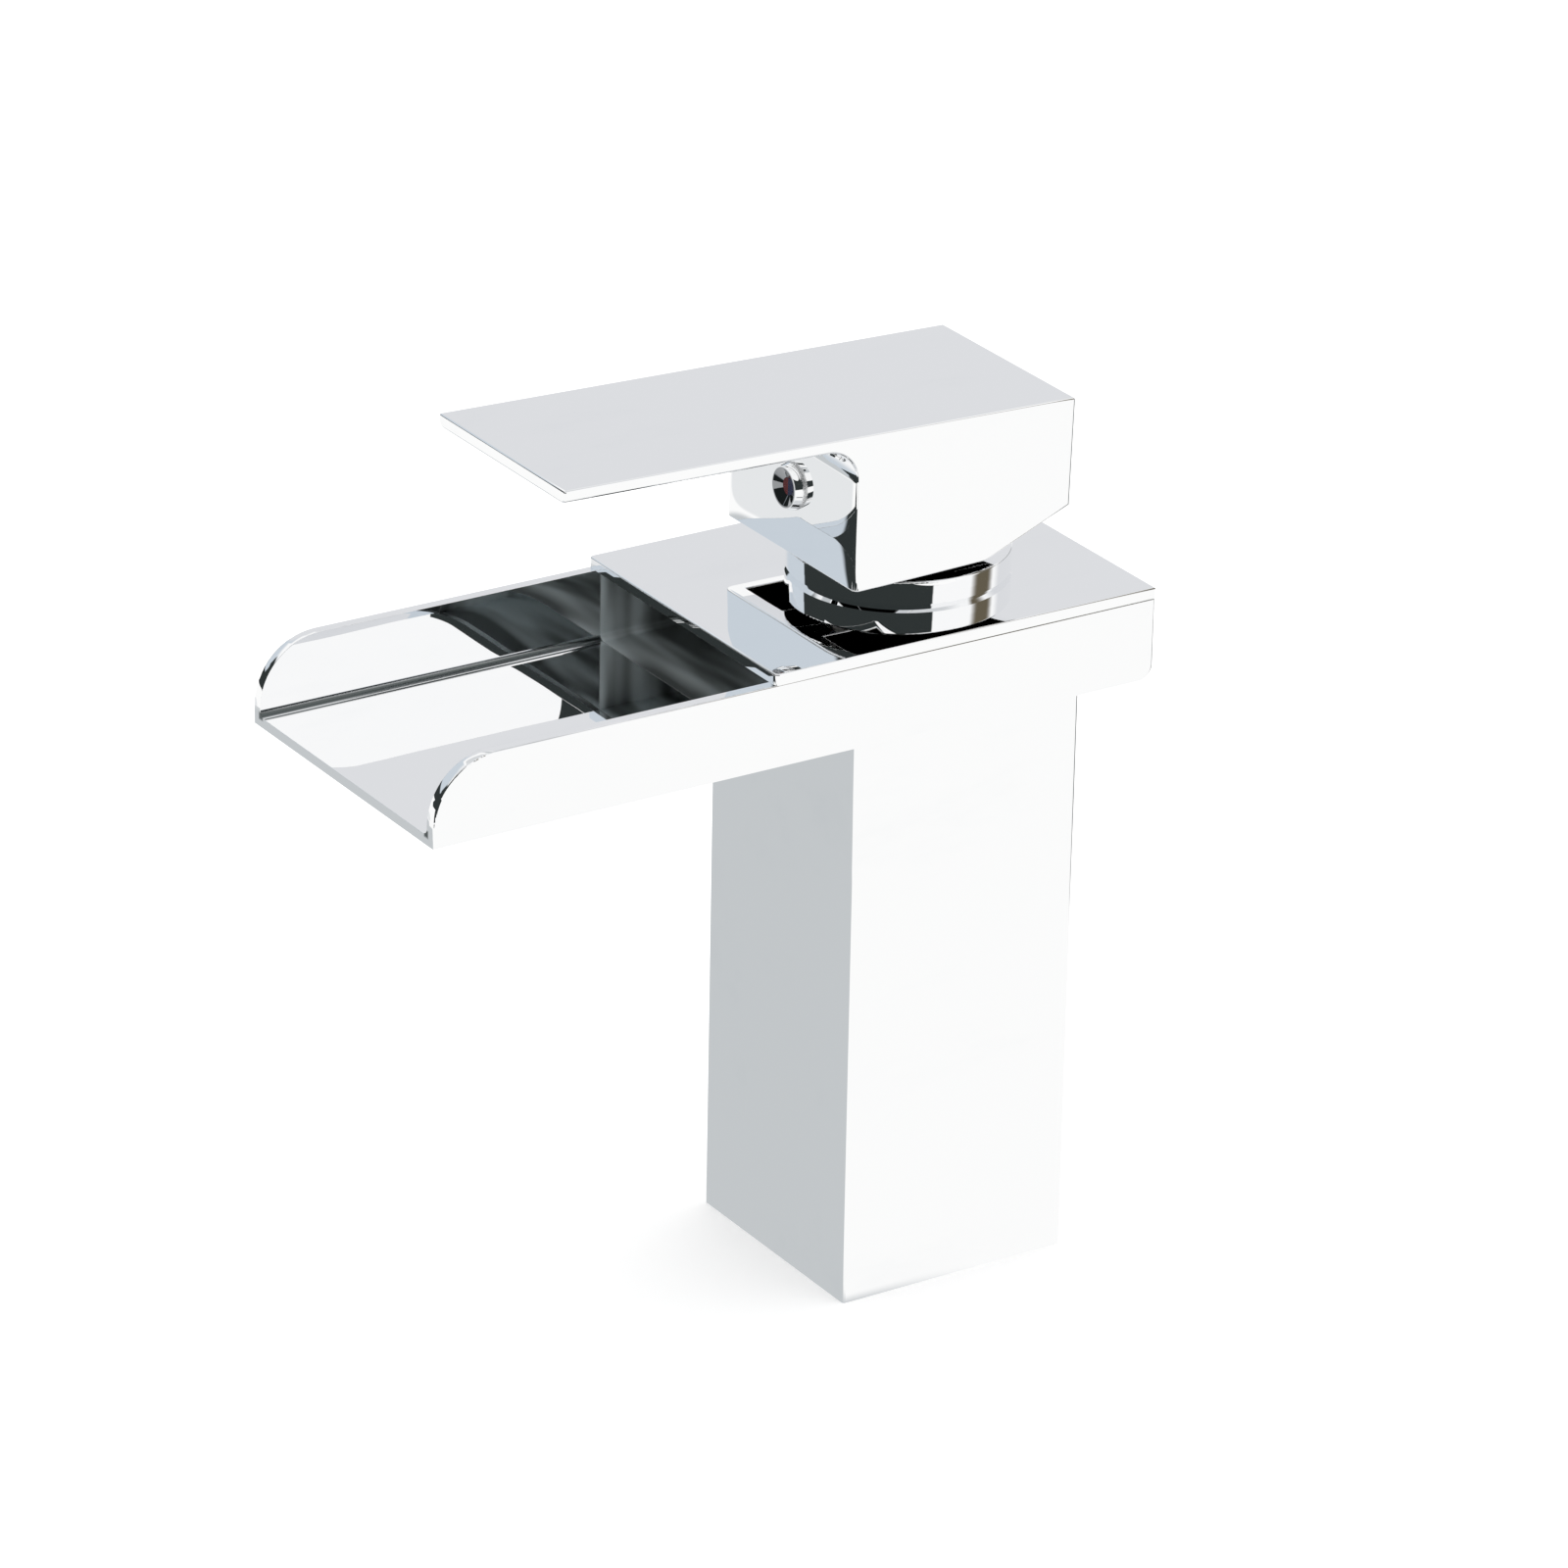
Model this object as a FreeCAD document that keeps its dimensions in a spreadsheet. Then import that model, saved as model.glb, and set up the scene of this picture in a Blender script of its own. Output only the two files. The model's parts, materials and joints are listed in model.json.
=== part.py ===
"""Single-lever waterfall basin faucet, as a parametric document in millimetres.

Frame: the origin is the centre of the column's foot, on the deck. +Z is up, the spout
points along -Y, and +X is to the right of a person who stands in front of the spout.
"""
import FreeCAD, Part
import os
import Sketcher
from FreeCAD import Placement, Rotation, Vector

OUTPUT_FOLDER = "parts"
BEYOND = "1"  # how far a cutter starts outside the face it opens

# Driving sizes: alias, value, meaning. Lengths are in millimetres and angles in degrees.
DRIVING_SIZES = [
    ("column_side", 50, "outer side of the square column"),
    ("column_wall", 2.5, "wall of the column"),
    ("column_height", 120, "deck to the underside of the spout"),
    ("column_edge_radius", 0.6, "rounding of the column's four corners"),
    ("trough_width", 66.2, "outer width of the spout trough"),
    ("trough_reach", 120, "column axis to the pouring lip"),
    ("trough_tail", 36, "column axis to the back of the trough"),
    ("trough_wall_height", 16.4, "underside of the trough to the top of its walls"),
    ("trough_wall", 2.4, "thickness of the trough's walls"),
    ("trough_floor", 2, "thickness of the trough's floor"),
    ("trough_lip_radius", 12.7, "rounded front corner of each side wall"),
    ("trough_bend_radius", 3, "bend between the floor and the back wall, outside"),
    ("trough_root_radius", 1.3, "hollow rounding where the walls meet the floor"),
    ("sheet_edge_radius", 0.35, "polished edge of the trough and its cover"),
    ("cover_front", 48, "column axis to the front edge of the cover"),
    ("cover_thickness", 2.2, "thickness of the cover"),
    ("cover_corner_radius", 1, "front corners of the cover"),
    ("ring_diameter", 42.8, "outer diameter of the bonnet ring"),
    ("ring_height", 5.4, "height of the bonnet ring above the cover"),
    ("ring_lip", 1.2, "thickness of the ring's inward lip"),
    ("ring_opening", 30.4, "opening in the ring's lip"),
    ("ring_shoulder_radius", 0.4, "rounded top edge of the ring"),
    ("ring_foot_chamfer", 0.8, "bevel at the foot of the ring"),
    ("neck_diameter", 40, "threaded neck of the valve body"),
    ("neck_stand", 3.9, "height of the neck above the cover"),
    ("neck_gap", 0.1, "clearance round the neck, each side"),
    ("valve_side_gap", 0.3, "valve block to the column's wall, each side"),
    ("valve_floor", 11, "floor of the valve block under the cartridge"),
    ("valve_corner_radius", 3, "corners of the valve block"),
    ("chamber_diameter", 35.4, "cartridge chamber in the valve body"),
    ("neck_gasket_thickness", 1, "gasket between the valve block and the trough"),
    ("neck_nut_width", 46, "neck nut across its flats"),
    ("neck_nut_thickness", 3.5, "thickness of the neck nut"),
    ("riser_spread", 15, "between the hot and the cold riser"),
    ("riser_front", 4, "risers in front of the column axis"),
    ("riser_diameter", 10, "outer diameter of a riser"),
    ("riser_wall", 1, "wall of a riser"),
    ("riser_seat", 7, "depth of a riser in the valve block"),
    ("riser_gap", 0.05, "clearance round a riser in its sockets"),
    ("riser_ring_section", 1.6, "thickness of a riser's sealing ring"),
    ("riser_ring_height", 3.5, "foot of the valve block to the sealing rings"),
    ("port_diameter", 5.6, "hot and cold ports under the cartridge"),
    ("outlet_back", 8.5, "mixed water port behind the column axis"),
    ("outlet_diameter", 7.6, "mixed water port under the cartridge"),
    ("passage_height", 4, "depth of the mixed water passage in the valve floor"),
    ("passage_width", 9, "width of the mixed water passage"),
    ("rise_depth", 1.5, "rising groove cut into the chamber's wall"),
    ("rise_angle", 56, "angle that the rising groove spans"),
    ("window_gap", 1, "neck nut to the foot of the outlet window"),
    ("window_height", 7, "height of the outlet window"),
    ("window_width", 18, "width of the outlet window"),
    ("base_thickness", 12, "thickness of the base plate"),
    ("braze_gap", 0.05, "base plate to the column's wall, each side"),
    ("inlet_core", 9, "core diameter of the M10x1 inlet threads"),
    ("inlet_depth", 8, "depth of the inlet threads"),
    ("stud_core", 6.8, "core diameter of the M8 stud thread"),
    ("stud_back", 9.5, "stud hole behind the column axis"),
    ("foot_seal_diameter", 39, "middle diameter of the foot seal"),
    ("foot_seal_width", 3, "width of the foot seal"),
    ("foot_seal_height", 1.6, "height of the foot seal"),
    ("seal_gap", 0.05, "clearance of a seal in its groove"),
    ("cartridge_gap", 0.3, "cartridge to the chamber's wall"),
    ("housing_wall", 1.5, "wall of the cartridge housing"),
    ("housing_roof", 5, "roof of the cartridge housing under its shoulder"),
    ("housing_neck_diameter", 28, "neck of the cartridge housing"),
    ("housing_neck_height", 7.2, "height of the housing's neck"),
    ("nut_drop", 1.44, "top of the cartridge nut below the top of the housing's neck"),
    ("guide_diameter", 24.5, "barrel of the swivel guide"),
    ("running_gap", 0.05, "radial clearance of a part that turns"),
    ("cartridge_base_height", 5, "chamber floor to the seat of the fixed disc"),
    ("base_flange_height", 2.5, "flange under the cartridge housing"),
    ("base_rim_height", 3, "rim of the cartridge base round the fixed disc"),
    ("peg_diameter", 3.8, "locating pegs of the cartridge"),
    ("peg_length", 3, "length of a locating peg"),
    ("peg_spread", 25, "between the two locating pegs"),
    ("peg_back", 6, "locating pegs behind the column axis"),
    ("port_seal_width", 1.3, "width of a seal round a cartridge port"),
    ("port_seal_height", 1, "height of a seal round a cartridge port"),
    ("disc_diameter", 28, "fixed ceramic disc"),
    ("disc_thickness", 4, "thickness of each ceramic disc"),
    ("moving_disc_diameter", 25.6, "moving ceramic disc"),
    ("moving_disc_back", 2, "moving disc behind the axis when the tap is shut"),
    ("mixing_depth", 2, "depth of the mixing hollow under the moving disc"),
    ("mixing_radius", 5, "end radius of the mixing hollow"),
    ("mixing_spread", 7, "between the two ends of the mixing hollow"),
    ("mixing_back", 4.5, "mixing hollow behind the axis when the tap is shut"),
    ("disc_film", 0.05, "water film between the two discs"),
    ("carrier_thickness", 5.25, "thickness of the disc carrier"),
    ("tongue_spread", 18, "between the carrier's two tongues"),
    ("tongue_width", 3, "width of a tongue"),
    ("tongue_length", 12, "length of a tongue"),
    ("tongue_height", 2.4, "height of a tongue"),
    ("tongue_gap", 0.15, "clearance beside a tongue"),
    ("carrier_travel", 3.6, "stroke of the carrier"),
    ("guide_gap", 0.2, "clearance above and below the guide's flange"),
    ("guide_flange", 3.6, "thickness of the guide's flange"),
    ("guide_stand", 0.5, "height of the guide above its housing"),
    ("guide_headroom", 0.8, "top of the guide to the ring's lip"),
    ("guide_slot_front", 5.8, "front end of the stem's slot"),
    ("guide_slot_back", 8.4, "back end of the stem's slot"),
    ("stem_side_gap", 0.3, "stem to the wall of its slot"),
    ("guide_ring_section", 1.5, "thickness of the guide's sealing ring"),
    ("guide_ring_height", 4.5, "guide's sealing ring above the housing's shoulder"),
    ("pivot_rise", 3.7, "housing's ceiling to the pivot pin"),
    ("pin_diameter", 3, "pivot pin"),
    ("pin_end_gap", 0.75, "end of the pin to the guide's surface"),
    ("pin_running_gap", 0.05, "radial clearance of the stem on the pin"),
    ("stem_side", 8, "side of the square stem"),
    ("stem_skirt", 4, "square part of the stem below the pivot"),
    ("shank_diameter", 4, "shank between the square stem and its ball"),
    ("stem_arm", 10.1, "pivot to the centre of the stem's ball"),
    ("ball_radius", 2.6, "ball at the foot of the stem"),
    ("ball_gap", 0.15, "ball to the wall of its socket"),
    ("ball_relief", 0.75, "extra length at the mouth of the ball's socket"),
    ("ball_relief_height", 1, "height of that mouth"),
    ("stem_engagement", 16.4, "length of the stem inside the lever"),
    ("stem_top_chamfer", 0.6, "bevel at the top of the stem"),
    ("lever_rest_rise", 1.65, "angle by which the shut lever rises to the front"),
    ("lever_clearance", 2.6, "top of the ring to the lowest point of the hub's slanted underside"),
    ("lever_width", 44.8, "width of the lever"),
    ("lever_front", 88, "column axis to the lever's front end"),
    ("lever_back", 22.6, "column axis to the lever's back end"),
    ("lever_height", 29.4, "start of the slanted underside to the top of the lever"),
    ("plate_thickness", 2.5, "thickness of the lever's plate"),
    ("hub_front", 24.7, "column axis to the front of the hub"),
    ("hub_flat_end", 4.3, "start of the hub's slanted underside, behind the axis"),
    ("hub_front_drop", 1.4, "how much lower the hub's underside is at its front"),
    ("hub_back_rise", 8.1, "height that the slanted underside gains"),
    ("root_radius", 7, "hollow rounding between the plate and the hub"),
    ("lever_edge_radius", 0.4, "polished edges of the lever"),
    ("hub_edge_radius", 1.2, "rounded upright edges of the hub, which run on under the plate"),
    ("hub_wall", 3.2, "front and back walls of the hub"),
    ("hub_side_wall", 2.4, "side walls of the hub"),
    ("hub_roof", 4.5, "roof above the hollow of the hub"),
    ("hollow_corner_radius", 1.5, "corners of the hollow of the hub"),
    ("web_width", 14, "web that carries the stem's socket"),
    ("web_back", 7.8, "back of that web, behind the axis"),
    ("socket_gap", 0.05, "stem to the wall of the lever's socket"),
    ("socket_headroom", 0.5, "top of the stem to the end of its socket"),
    ("screw_rise", 12.2, "underside of the hub to the screw and the button"),
    ("screw_diameter", 5, "set screw"),
    ("screw_length", 7, "length of the set screw"),
    ("screw_key_width", 2.5, "hexagon socket in the set screw"),
    ("screw_key_depth", 3, "depth of that hexagon socket"),
    ("screw_gap", 0.05, "clearance round the screw and the button's plug"),
    ("screw_bore_start", 12, "column axis to the step in the screw's bore"),
    ("button_diameter", 9.2, "index button"),
    ("button_proud", 2, "height of the button on the hub's front"),
    ("button_rim", 0.5, "flat rim of the button"),
    ("button_taper", 0.5, "how far the button narrows towards its rim"),
    ("button_dish", 1, "depth of the dish in the button"),
    ("button_plug_diameter", 6.8, "plug of the button in the hub"),
    ("button_plug_length", 4, "length of that plug"),
    ("button_plug_wall", 0.9, "wall of that plug"),
    ("mark_diameter", 3.4, "hot and cold marks together"),
    ("mark_thickness", 1, "thickness of a mark"),
]

# Worked levels and sizes: alias, formula. Levels are heights above the deck, except that
# those of the lever are heights above its pivot.
WORKED_SIZES = [
    ("column_bore", "Sizes.column_side - 2 * Sizes.column_wall"),
    ("floor_top", "Sizes.column_height + Sizes.trough_floor"),
    ("wall_top", "Sizes.column_height + Sizes.trough_wall_height"),
    ("cover_top", "wall_top + Sizes.cover_thickness"),
    ("ring_top", "cover_top + Sizes.ring_height"),
    ("neck_top", "cover_top + Sizes.neck_stand"),
    ("neck_hole", "Sizes.neck_diameter + 2 * Sizes.neck_gap"),
    ("block_side", "column_bore - 2 * Sizes.valve_side_gap"),
    ("block_top", "Sizes.column_height - Sizes.neck_gasket_thickness"),
    ("neck_nut_top", "floor_top + Sizes.neck_nut_thickness"),
    ("window_foot", "neck_nut_top + Sizes.window_gap"),
    ("window_top", "window_foot + Sizes.window_height"),
    ("guide_top", "ring_top - Sizes.ring_lip - Sizes.guide_headroom"),
    ("housing_top", "guide_top - Sizes.guide_stand"),
    ("shoulder", "housing_top - Sizes.housing_neck_height"),
    ("ceiling", "shoulder - Sizes.housing_roof"),
    ("flange_top", "ceiling - Sizes.guide_gap"),
    ("guide_foot", "flange_top - Sizes.guide_flange"),
    ("carrier_top", "guide_foot - Sizes.guide_gap"),
    ("carrier_foot", "carrier_top - Sizes.carrier_thickness"),
    ("moving_foot", "carrier_foot - Sizes.disc_thickness"),
    ("disc_plane", "moving_foot - Sizes.disc_film"),
    ("disc_seat", "disc_plane - Sizes.disc_thickness"),
    ("chamber_floor", "disc_seat - Sizes.cartridge_base_height"),
    ("valve_foot", "chamber_floor - Sizes.valve_floor"),
    ("passage_foot", "chamber_floor - Sizes.passage_height"),
    ("housing_foot", "chamber_floor + Sizes.base_flange_height"),
    ("cartridge_radius", "Sizes.chamber_diameter / 2 - Sizes.cartridge_gap"),
    ("housing_bore", "cartridge_radius - Sizes.housing_wall"),
    ("pivot", "ceiling + Sizes.pivot_rise"),
    ("ball_shift", "0 - Sizes.stem_arm * sin(Sizes.lever_rest_rise)"),
    ("ball_level", "pivot - Sizes.stem_arm * cos(Sizes.lever_rest_rise)"),
    ("riser_top", "valve_foot + Sizes.riser_seat"),
    ("riser_socket", "Sizes.riser_diameter + 2 * Sizes.riser_gap"),
    ("riser_side", "Sizes.riser_spread / 2"),
    ("riser_line", "0 - Sizes.riser_front"),
    ("hub_foot", "ring_top - pivot + Sizes.lever_clearance"),
    ("hub_toe", "hub_foot - Sizes.hub_front_drop"),
    ("lever_top", "hub_foot + Sizes.lever_height"),
    ("plate_foot", "lever_top - Sizes.plate_thickness"),
    ("stem_top", "hub_foot + Sizes.stem_engagement"),
    ("socket_side", "Sizes.stem_side + 2 * Sizes.socket_gap"),
    ("screw_line", "hub_foot + Sizes.screw_rise"),
    ("dish_floor", "Sizes.hub_front + Sizes.button_proud - Sizes.button_dish"),
    ("mark_foot", "dish_floor - Sizes.mark_thickness"),
]

doc = FreeCAD.newDocument("waterfall_basin_faucet")
sizes = doc.addObject("Spreadsheet::Sheet", "Sizes")
worked = doc.addObject("Spreadsheet::Sheet", "Worked")
for row, (alias, size, meaning) in enumerate(DRIVING_SIZES, start=1):
    sizes.set(f"A{row}", meaning)
    sizes.set(f"B{row}", str(size))
    sizes.setAlias(f"B{row}", alias)
for row, (alias, formula) in enumerate(WORKED_SIZES, start=1):
    worked.set(f"A{row}", alias.replace("_", " "))
    worked.set(f"B{row}", "=" + formula)
    worked.setAlias(f"B{row}", alias)
doc.recompute()

nodes = []


def number(expression):
    """Value of an expression on the two sheets."""
    return float(worked.evalExpression(expression))


# ---- Sketches and features ---------------------------------------------------------------


def new_body(name):
    """A body that becomes a node of the same name."""
    body = doc.addObject("PartDesign::Body", name)
    body.Label = name
    nodes.append(body)
    return body


def new_lever_body(name):
    """A body drawn about the pivot, and leaning as the lever leans when the tap is shut."""
    body = new_body(name)
    body.Placement = Placement(Vector(0, 0, 0), Rotation(Vector(1, 0, 0), -1))
    body.setExpression("Placement.Base.z", "Worked.pivot")
    body.setExpression("Placement.Rotation.Angle", "0 - Sizes.lever_rest_rise")
    return body


def origin_plane(body, role):
    """One of the body's own origin planes."""
    return next(part for part in body.Origin.OriginFeatures if part.Role == role)


def new_sketch(body, role, offset="0"):
    """An empty sketch on an origin plane, moved along the plane's normal."""
    sketch = body.newObject("Sketcher::SketchObject", body.Label + "_sketch")
    sketch.AttachmentSupport = [(origin_plane(body, role), "")]
    sketch.MapMode = "FlatFace"
    sketch.setExpression("AttachmentOffset.Base.z", offset)
    return sketch


def bind(sketch, kind, places, expression):
    """Add one constraint, whose value follows an expression."""
    index = sketch.addConstraint(Sketcher.Constraint(kind, *places, number(expression)))
    sketch.setExpression(f"Constraints[{index}]", expression)


def add_outline(sketch, corners):
    """A closed outline of straight lines through corners given as pairs of expressions."""
    first = sketch.GeometryCount
    points = [Vector(number(across), number(along), 0) for across, along in corners]
    for start, end in zip(points, points[1:] + points[:1]):
        sketch.addGeometry(Part.LineSegment(start, end))
    for step, (across, along) in enumerate(corners):
        line = first + step
        following = first + (step + 1) % len(corners)
        sketch.addConstraint(Sketcher.Constraint("Coincident", line, 2, following, 1))
        bind(sketch, "DistanceX", (line, 1), across)
        bind(sketch, "DistanceY", (line, 1), along)


def add_rectangle(sketch, left, front, right, back):
    """A rectangle between two corners."""
    add_outline(sketch, [(left, front), (right, front), (right, back), (left, back)])


def add_square(sketch, side):
    """A square about the sketch's origin."""
    half = f"({side}) / 2"
    add_rectangle(sketch, f"-{half}", f"-{half}", half, half)


def add_circle(sketch, diameter, across="0", along="0"):
    """A circle about a point."""
    centre = Vector(number(across), number(along), 0)
    circle = Part.Circle(centre, Vector(0, 0, 1), number(f"({diameter}) / 2"))
    line = sketch.addGeometry(circle)
    bind(sketch, "DistanceX", (line, 3), across)
    bind(sketch, "DistanceY", (line, 3), along)
    bind(sketch, "Diameter", (line,), diameter)


def add_hexagon(sketch, flats, across="0", along="0"):
    """A hexagon about a point, from its width across the flats."""
    corner = f"(({flats}) / 2 / cos(30))"
    turns = [f"{60 * side}" for side in range(6)]
    corners = [(f"{across} + {corner} * cos({turn})", f"{along} + {corner} * sin({turn})")
               for turn in turns]
    add_outline(sketch, corners)


def add_ring(sketch, middle_diameter, width, across="0", along="0"):
    """Two circles, one inside the other."""
    add_circle(sketch, f"{middle_diameter} + ({width})", across, along)
    add_circle(sketch, f"{middle_diameter} - ({width})", across, along)


def pad(body, sketch, length, side="One side", downwards=False):
    """Grow a sketch into a solid."""
    feature = body.newObject("PartDesign::Pad", body.Label + "_pad")
    feature.Profile = sketch
    feature.SideType = side
    feature.Reversed = downwards
    feature.Length = number(length)
    feature.setExpression("Length", length)
    return feature


def pocket(body, sketch, depth, side="One side", upwards=False):
    """Cut a sketch out of a body, against the sketch's normal unless it is upwards."""
    feature = body.newObject("PartDesign::Pocket", body.Label + "_pocket")
    feature.Profile = sketch
    feature.SideType = side
    feature.Reversed = upwards
    feature.Length = number(depth)
    feature.setExpression("Length", depth)
    return feature


def revolve(body, sketch, axis="V_Axis", cut=False):
    """Turn a sketch once round an axis of its own."""
    kind = "PartDesign::Groove" if cut else "PartDesign::Revolution"
    feature = body.newObject(kind, body.Label + "_turned")
    feature.Profile = sketch
    feature.ReferenceAxis = (sketch, [axis])
    feature.Angle = 360
    return feature


def edges_where(feature, test):
    """Names of a feature's edges whose middle point and length pass a test."""
    doc.recompute()
    names = []
    for index, edge in enumerate(feature.Shape.Edges, start=1):
        middle = edge.valueAt((edge.FirstParameter + edge.LastParameter) / 2)
        if test(edge, middle):
            names.append(f"Edge{index}")
    return names


def round_edges(body, base, radius, test):
    """Fillet the edges of a feature that pass a test."""
    feature = body.newObject("PartDesign::Fillet", body.Label + "_fillet")
    feature.Base = (base, edges_where(base, test))
    feature.Radius = number(radius)
    feature.setExpression("Radius", radius)
    return feature


def bevel_edges(body, base, size, test):
    """Chamfer the edges of a feature that pass a test."""
    feature = body.newObject("PartDesign::Chamfer", body.Label + "_chamfer")
    feature.Base = (base, edges_where(base, test))
    feature.Size = number(size)
    feature.setExpression("Size", size)
    return feature


def near(first, second):
    """True for two lengths that are the same to a thousandth of a millimetre."""
    return abs(first - second) < 0.001


def along(edge, direction):
    """True for a straight edge that runs along a direction."""
    if not isinstance(edge.Curve, Part.Line):
        return False
    return near(abs(edge.Curve.Direction.dot(direction)), 1)


X_AXIS = Vector(1, 0, 0)
Y_AXIS = Vector(0, 1, 0)
Z_AXIS = Vector(0, 0, 1)


# ---- Primitives --------------------------------------------------------------------------


def place(part, across, along_y, level):
    """Bind a primitive's place to three expressions."""
    part.setExpression("Placement.Base.x", across)
    part.setExpression("Placement.Base.y", along_y)
    part.setExpression("Placement.Base.z", level)
    return part


def cylinder(diameter, height, level, across="0", along_y="0"):
    """An upright cylinder that stands on a level."""
    part = doc.addObject("Part::Cylinder", "cylinder")
    part.setExpression("Radius", f"({diameter}) / 2")
    part.setExpression("Height", height)
    return place(part, across, along_y, level)


def block(left, right, front, back, foot, top):
    """A box between six planes."""
    part = doc.addObject("Part::Box", "block")
    part.setExpression("Length", f"({right}) - ({left})")
    part.setExpression("Width", f"({back}) - ({front})")
    part.setExpression("Height", f"({top}) - ({foot})")
    return place(part, left, front, foot)


def join(parts):
    """The union of several primitives."""
    union = doc.addObject("Part::MultiFuse", "union")
    union.Shapes = parts
    return union


def cut(base, tool):
    """One primitive less another."""
    difference = doc.addObject("Part::Cut", "difference")
    difference.Base = base
    difference.Tool = tool
    return difference


def seal_ring(inside, width, height, level, across="0", along_y="0"):
    """A rubber ring of square section that stands on a level."""
    outer = cylinder(f"{inside} + 2 * {width}", height, level, across, along_y)
    inner = cylinder(inside, height, level, across, along_y)
    return cut(outer, inner)


def group(parts):
    """Several separate solids that share a node."""
    together = doc.addObject("Part::Compound", "group")
    together.Links = parts
    return together


def as_node(part, name):
    """Name a finished primitive as a node."""
    part.Label = name
    nodes.append(part)
    return part


# ---- Column and base ---------------------------------------------------------------------


def make_column_body():
    """Square brass column, open at both ends."""
    body = new_body("column_body")
    outline = new_sketch(body, "XY_Plane")
    add_square(outline, "Sizes.column_side")
    add_square(outline, "Worked.column_bore")
    tube = pad(body, outline, "Sizes.column_height")
    corner = number("Sizes.column_side / 2")
    round_edges(body, tube, "Sizes.column_edge_radius",
                lambda edge, middle: along(edge, Z_AXIS) and near(abs(middle.x), corner))


def make_base_plate():
    """Plate brazed into the foot: two inlet threads, the stud's thread and the seal's groove."""
    body = new_body("base_plate")
    outline = new_sketch(body, "XY_Plane")
    add_square(outline, "Worked.column_bore - 2 * Sizes.braze_gap")
    pad(body, outline, "Sizes.base_thickness")
    threads = new_sketch(body, "XY_Plane")
    for side in ("-Worked.riser_side", "Worked.riser_side"):
        add_circle(threads, "Sizes.inlet_core", side, "Worked.riser_line")
    add_circle(threads, "Sizes.stud_core", "0", "Sizes.stud_back")
    pocket(body, threads, "Sizes.base_thickness", upwards=True)
    seats = new_sketch(body, "XY_Plane", "Sizes.base_thickness")
    for side in ("-Worked.riser_side", "Worked.riser_side"):
        add_circle(seats, "Worked.riser_socket", side, "Worked.riser_line")
    pocket(body, seats, "Sizes.base_thickness - Sizes.inlet_depth")
    groove = new_sketch(body, "XY_Plane")
    add_ring(groove, "Sizes.foot_seal_diameter", "Sizes.foot_seal_width")
    pocket(body, groove, "Sizes.foot_seal_height", upwards=True)


def make_foot_seal():
    """Rubber ring that seals the faucet's foot on the deck."""
    body = new_body("foot_seal")
    outline = new_sketch(body, "XY_Plane")
    add_ring(outline, "Sizes.foot_seal_diameter", "Sizes.foot_seal_width - 2 * Sizes.seal_gap")
    pad(body, outline, "Sizes.foot_seal_height")


def make_riser(name, side):
    """Copper tube from an inlet up to the valve block."""
    body = new_body(name)
    outline = new_sketch(body, "XY_Plane", "Sizes.inlet_depth")
    add_circle(outline, "Sizes.riser_diameter", side, "Worked.riser_line")
    add_circle(outline, "Sizes.riser_diameter - 2 * Sizes.riser_wall", side, "Worked.riser_line")
    pad(body, outline, "Worked.riser_top - Sizes.inlet_depth")


def make_riser_seals():
    """Square-cut sealing ring round each riser, inside the valve block."""
    level = ("Worked.valve_foot + Sizes.riser_ring_height"
             " - Sizes.riser_ring_section / 2")
    rings = [seal_ring("Sizes.riser_diameter + 2 * Sizes.seal_gap", "Sizes.riser_ring_section",
                       "Sizes.riser_ring_section", level, side, "Worked.riser_line")
             for side in ("-Worked.riser_side", "Worked.riser_side")]
    as_node(group(rings), "riser_seals")


# ---- Valve body --------------------------------------------------------------------------


def make_valve_body():
    """Brass block and threaded neck, with the cartridge's chamber and the water passages."""
    body = new_body("valve_body")
    outline = new_sketch(body, "XY_Plane", "Worked.valve_foot")
    add_square(outline, "Worked.block_side")
    stock = pad(body, outline, "Worked.block_top - Worked.valve_foot")
    stock = round_edges(body, stock, "Sizes.valve_corner_radius",
                        lambda edge, middle: along(edge, Z_AXIS))
    neck = new_sketch(body, "XY_Plane", "Worked.block_top")
    add_circle(neck, "Sizes.neck_diameter")
    pad(body, neck, "Worked.neck_top - Worked.block_top")
    chamber = new_sketch(body, "XY_Plane", "Worked.neck_top")
    add_circle(chamber, "Sizes.chamber_diameter")
    pocket(body, chamber, "Worked.neck_top - Worked.chamber_floor")
    cut_water_passages(body)


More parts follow.
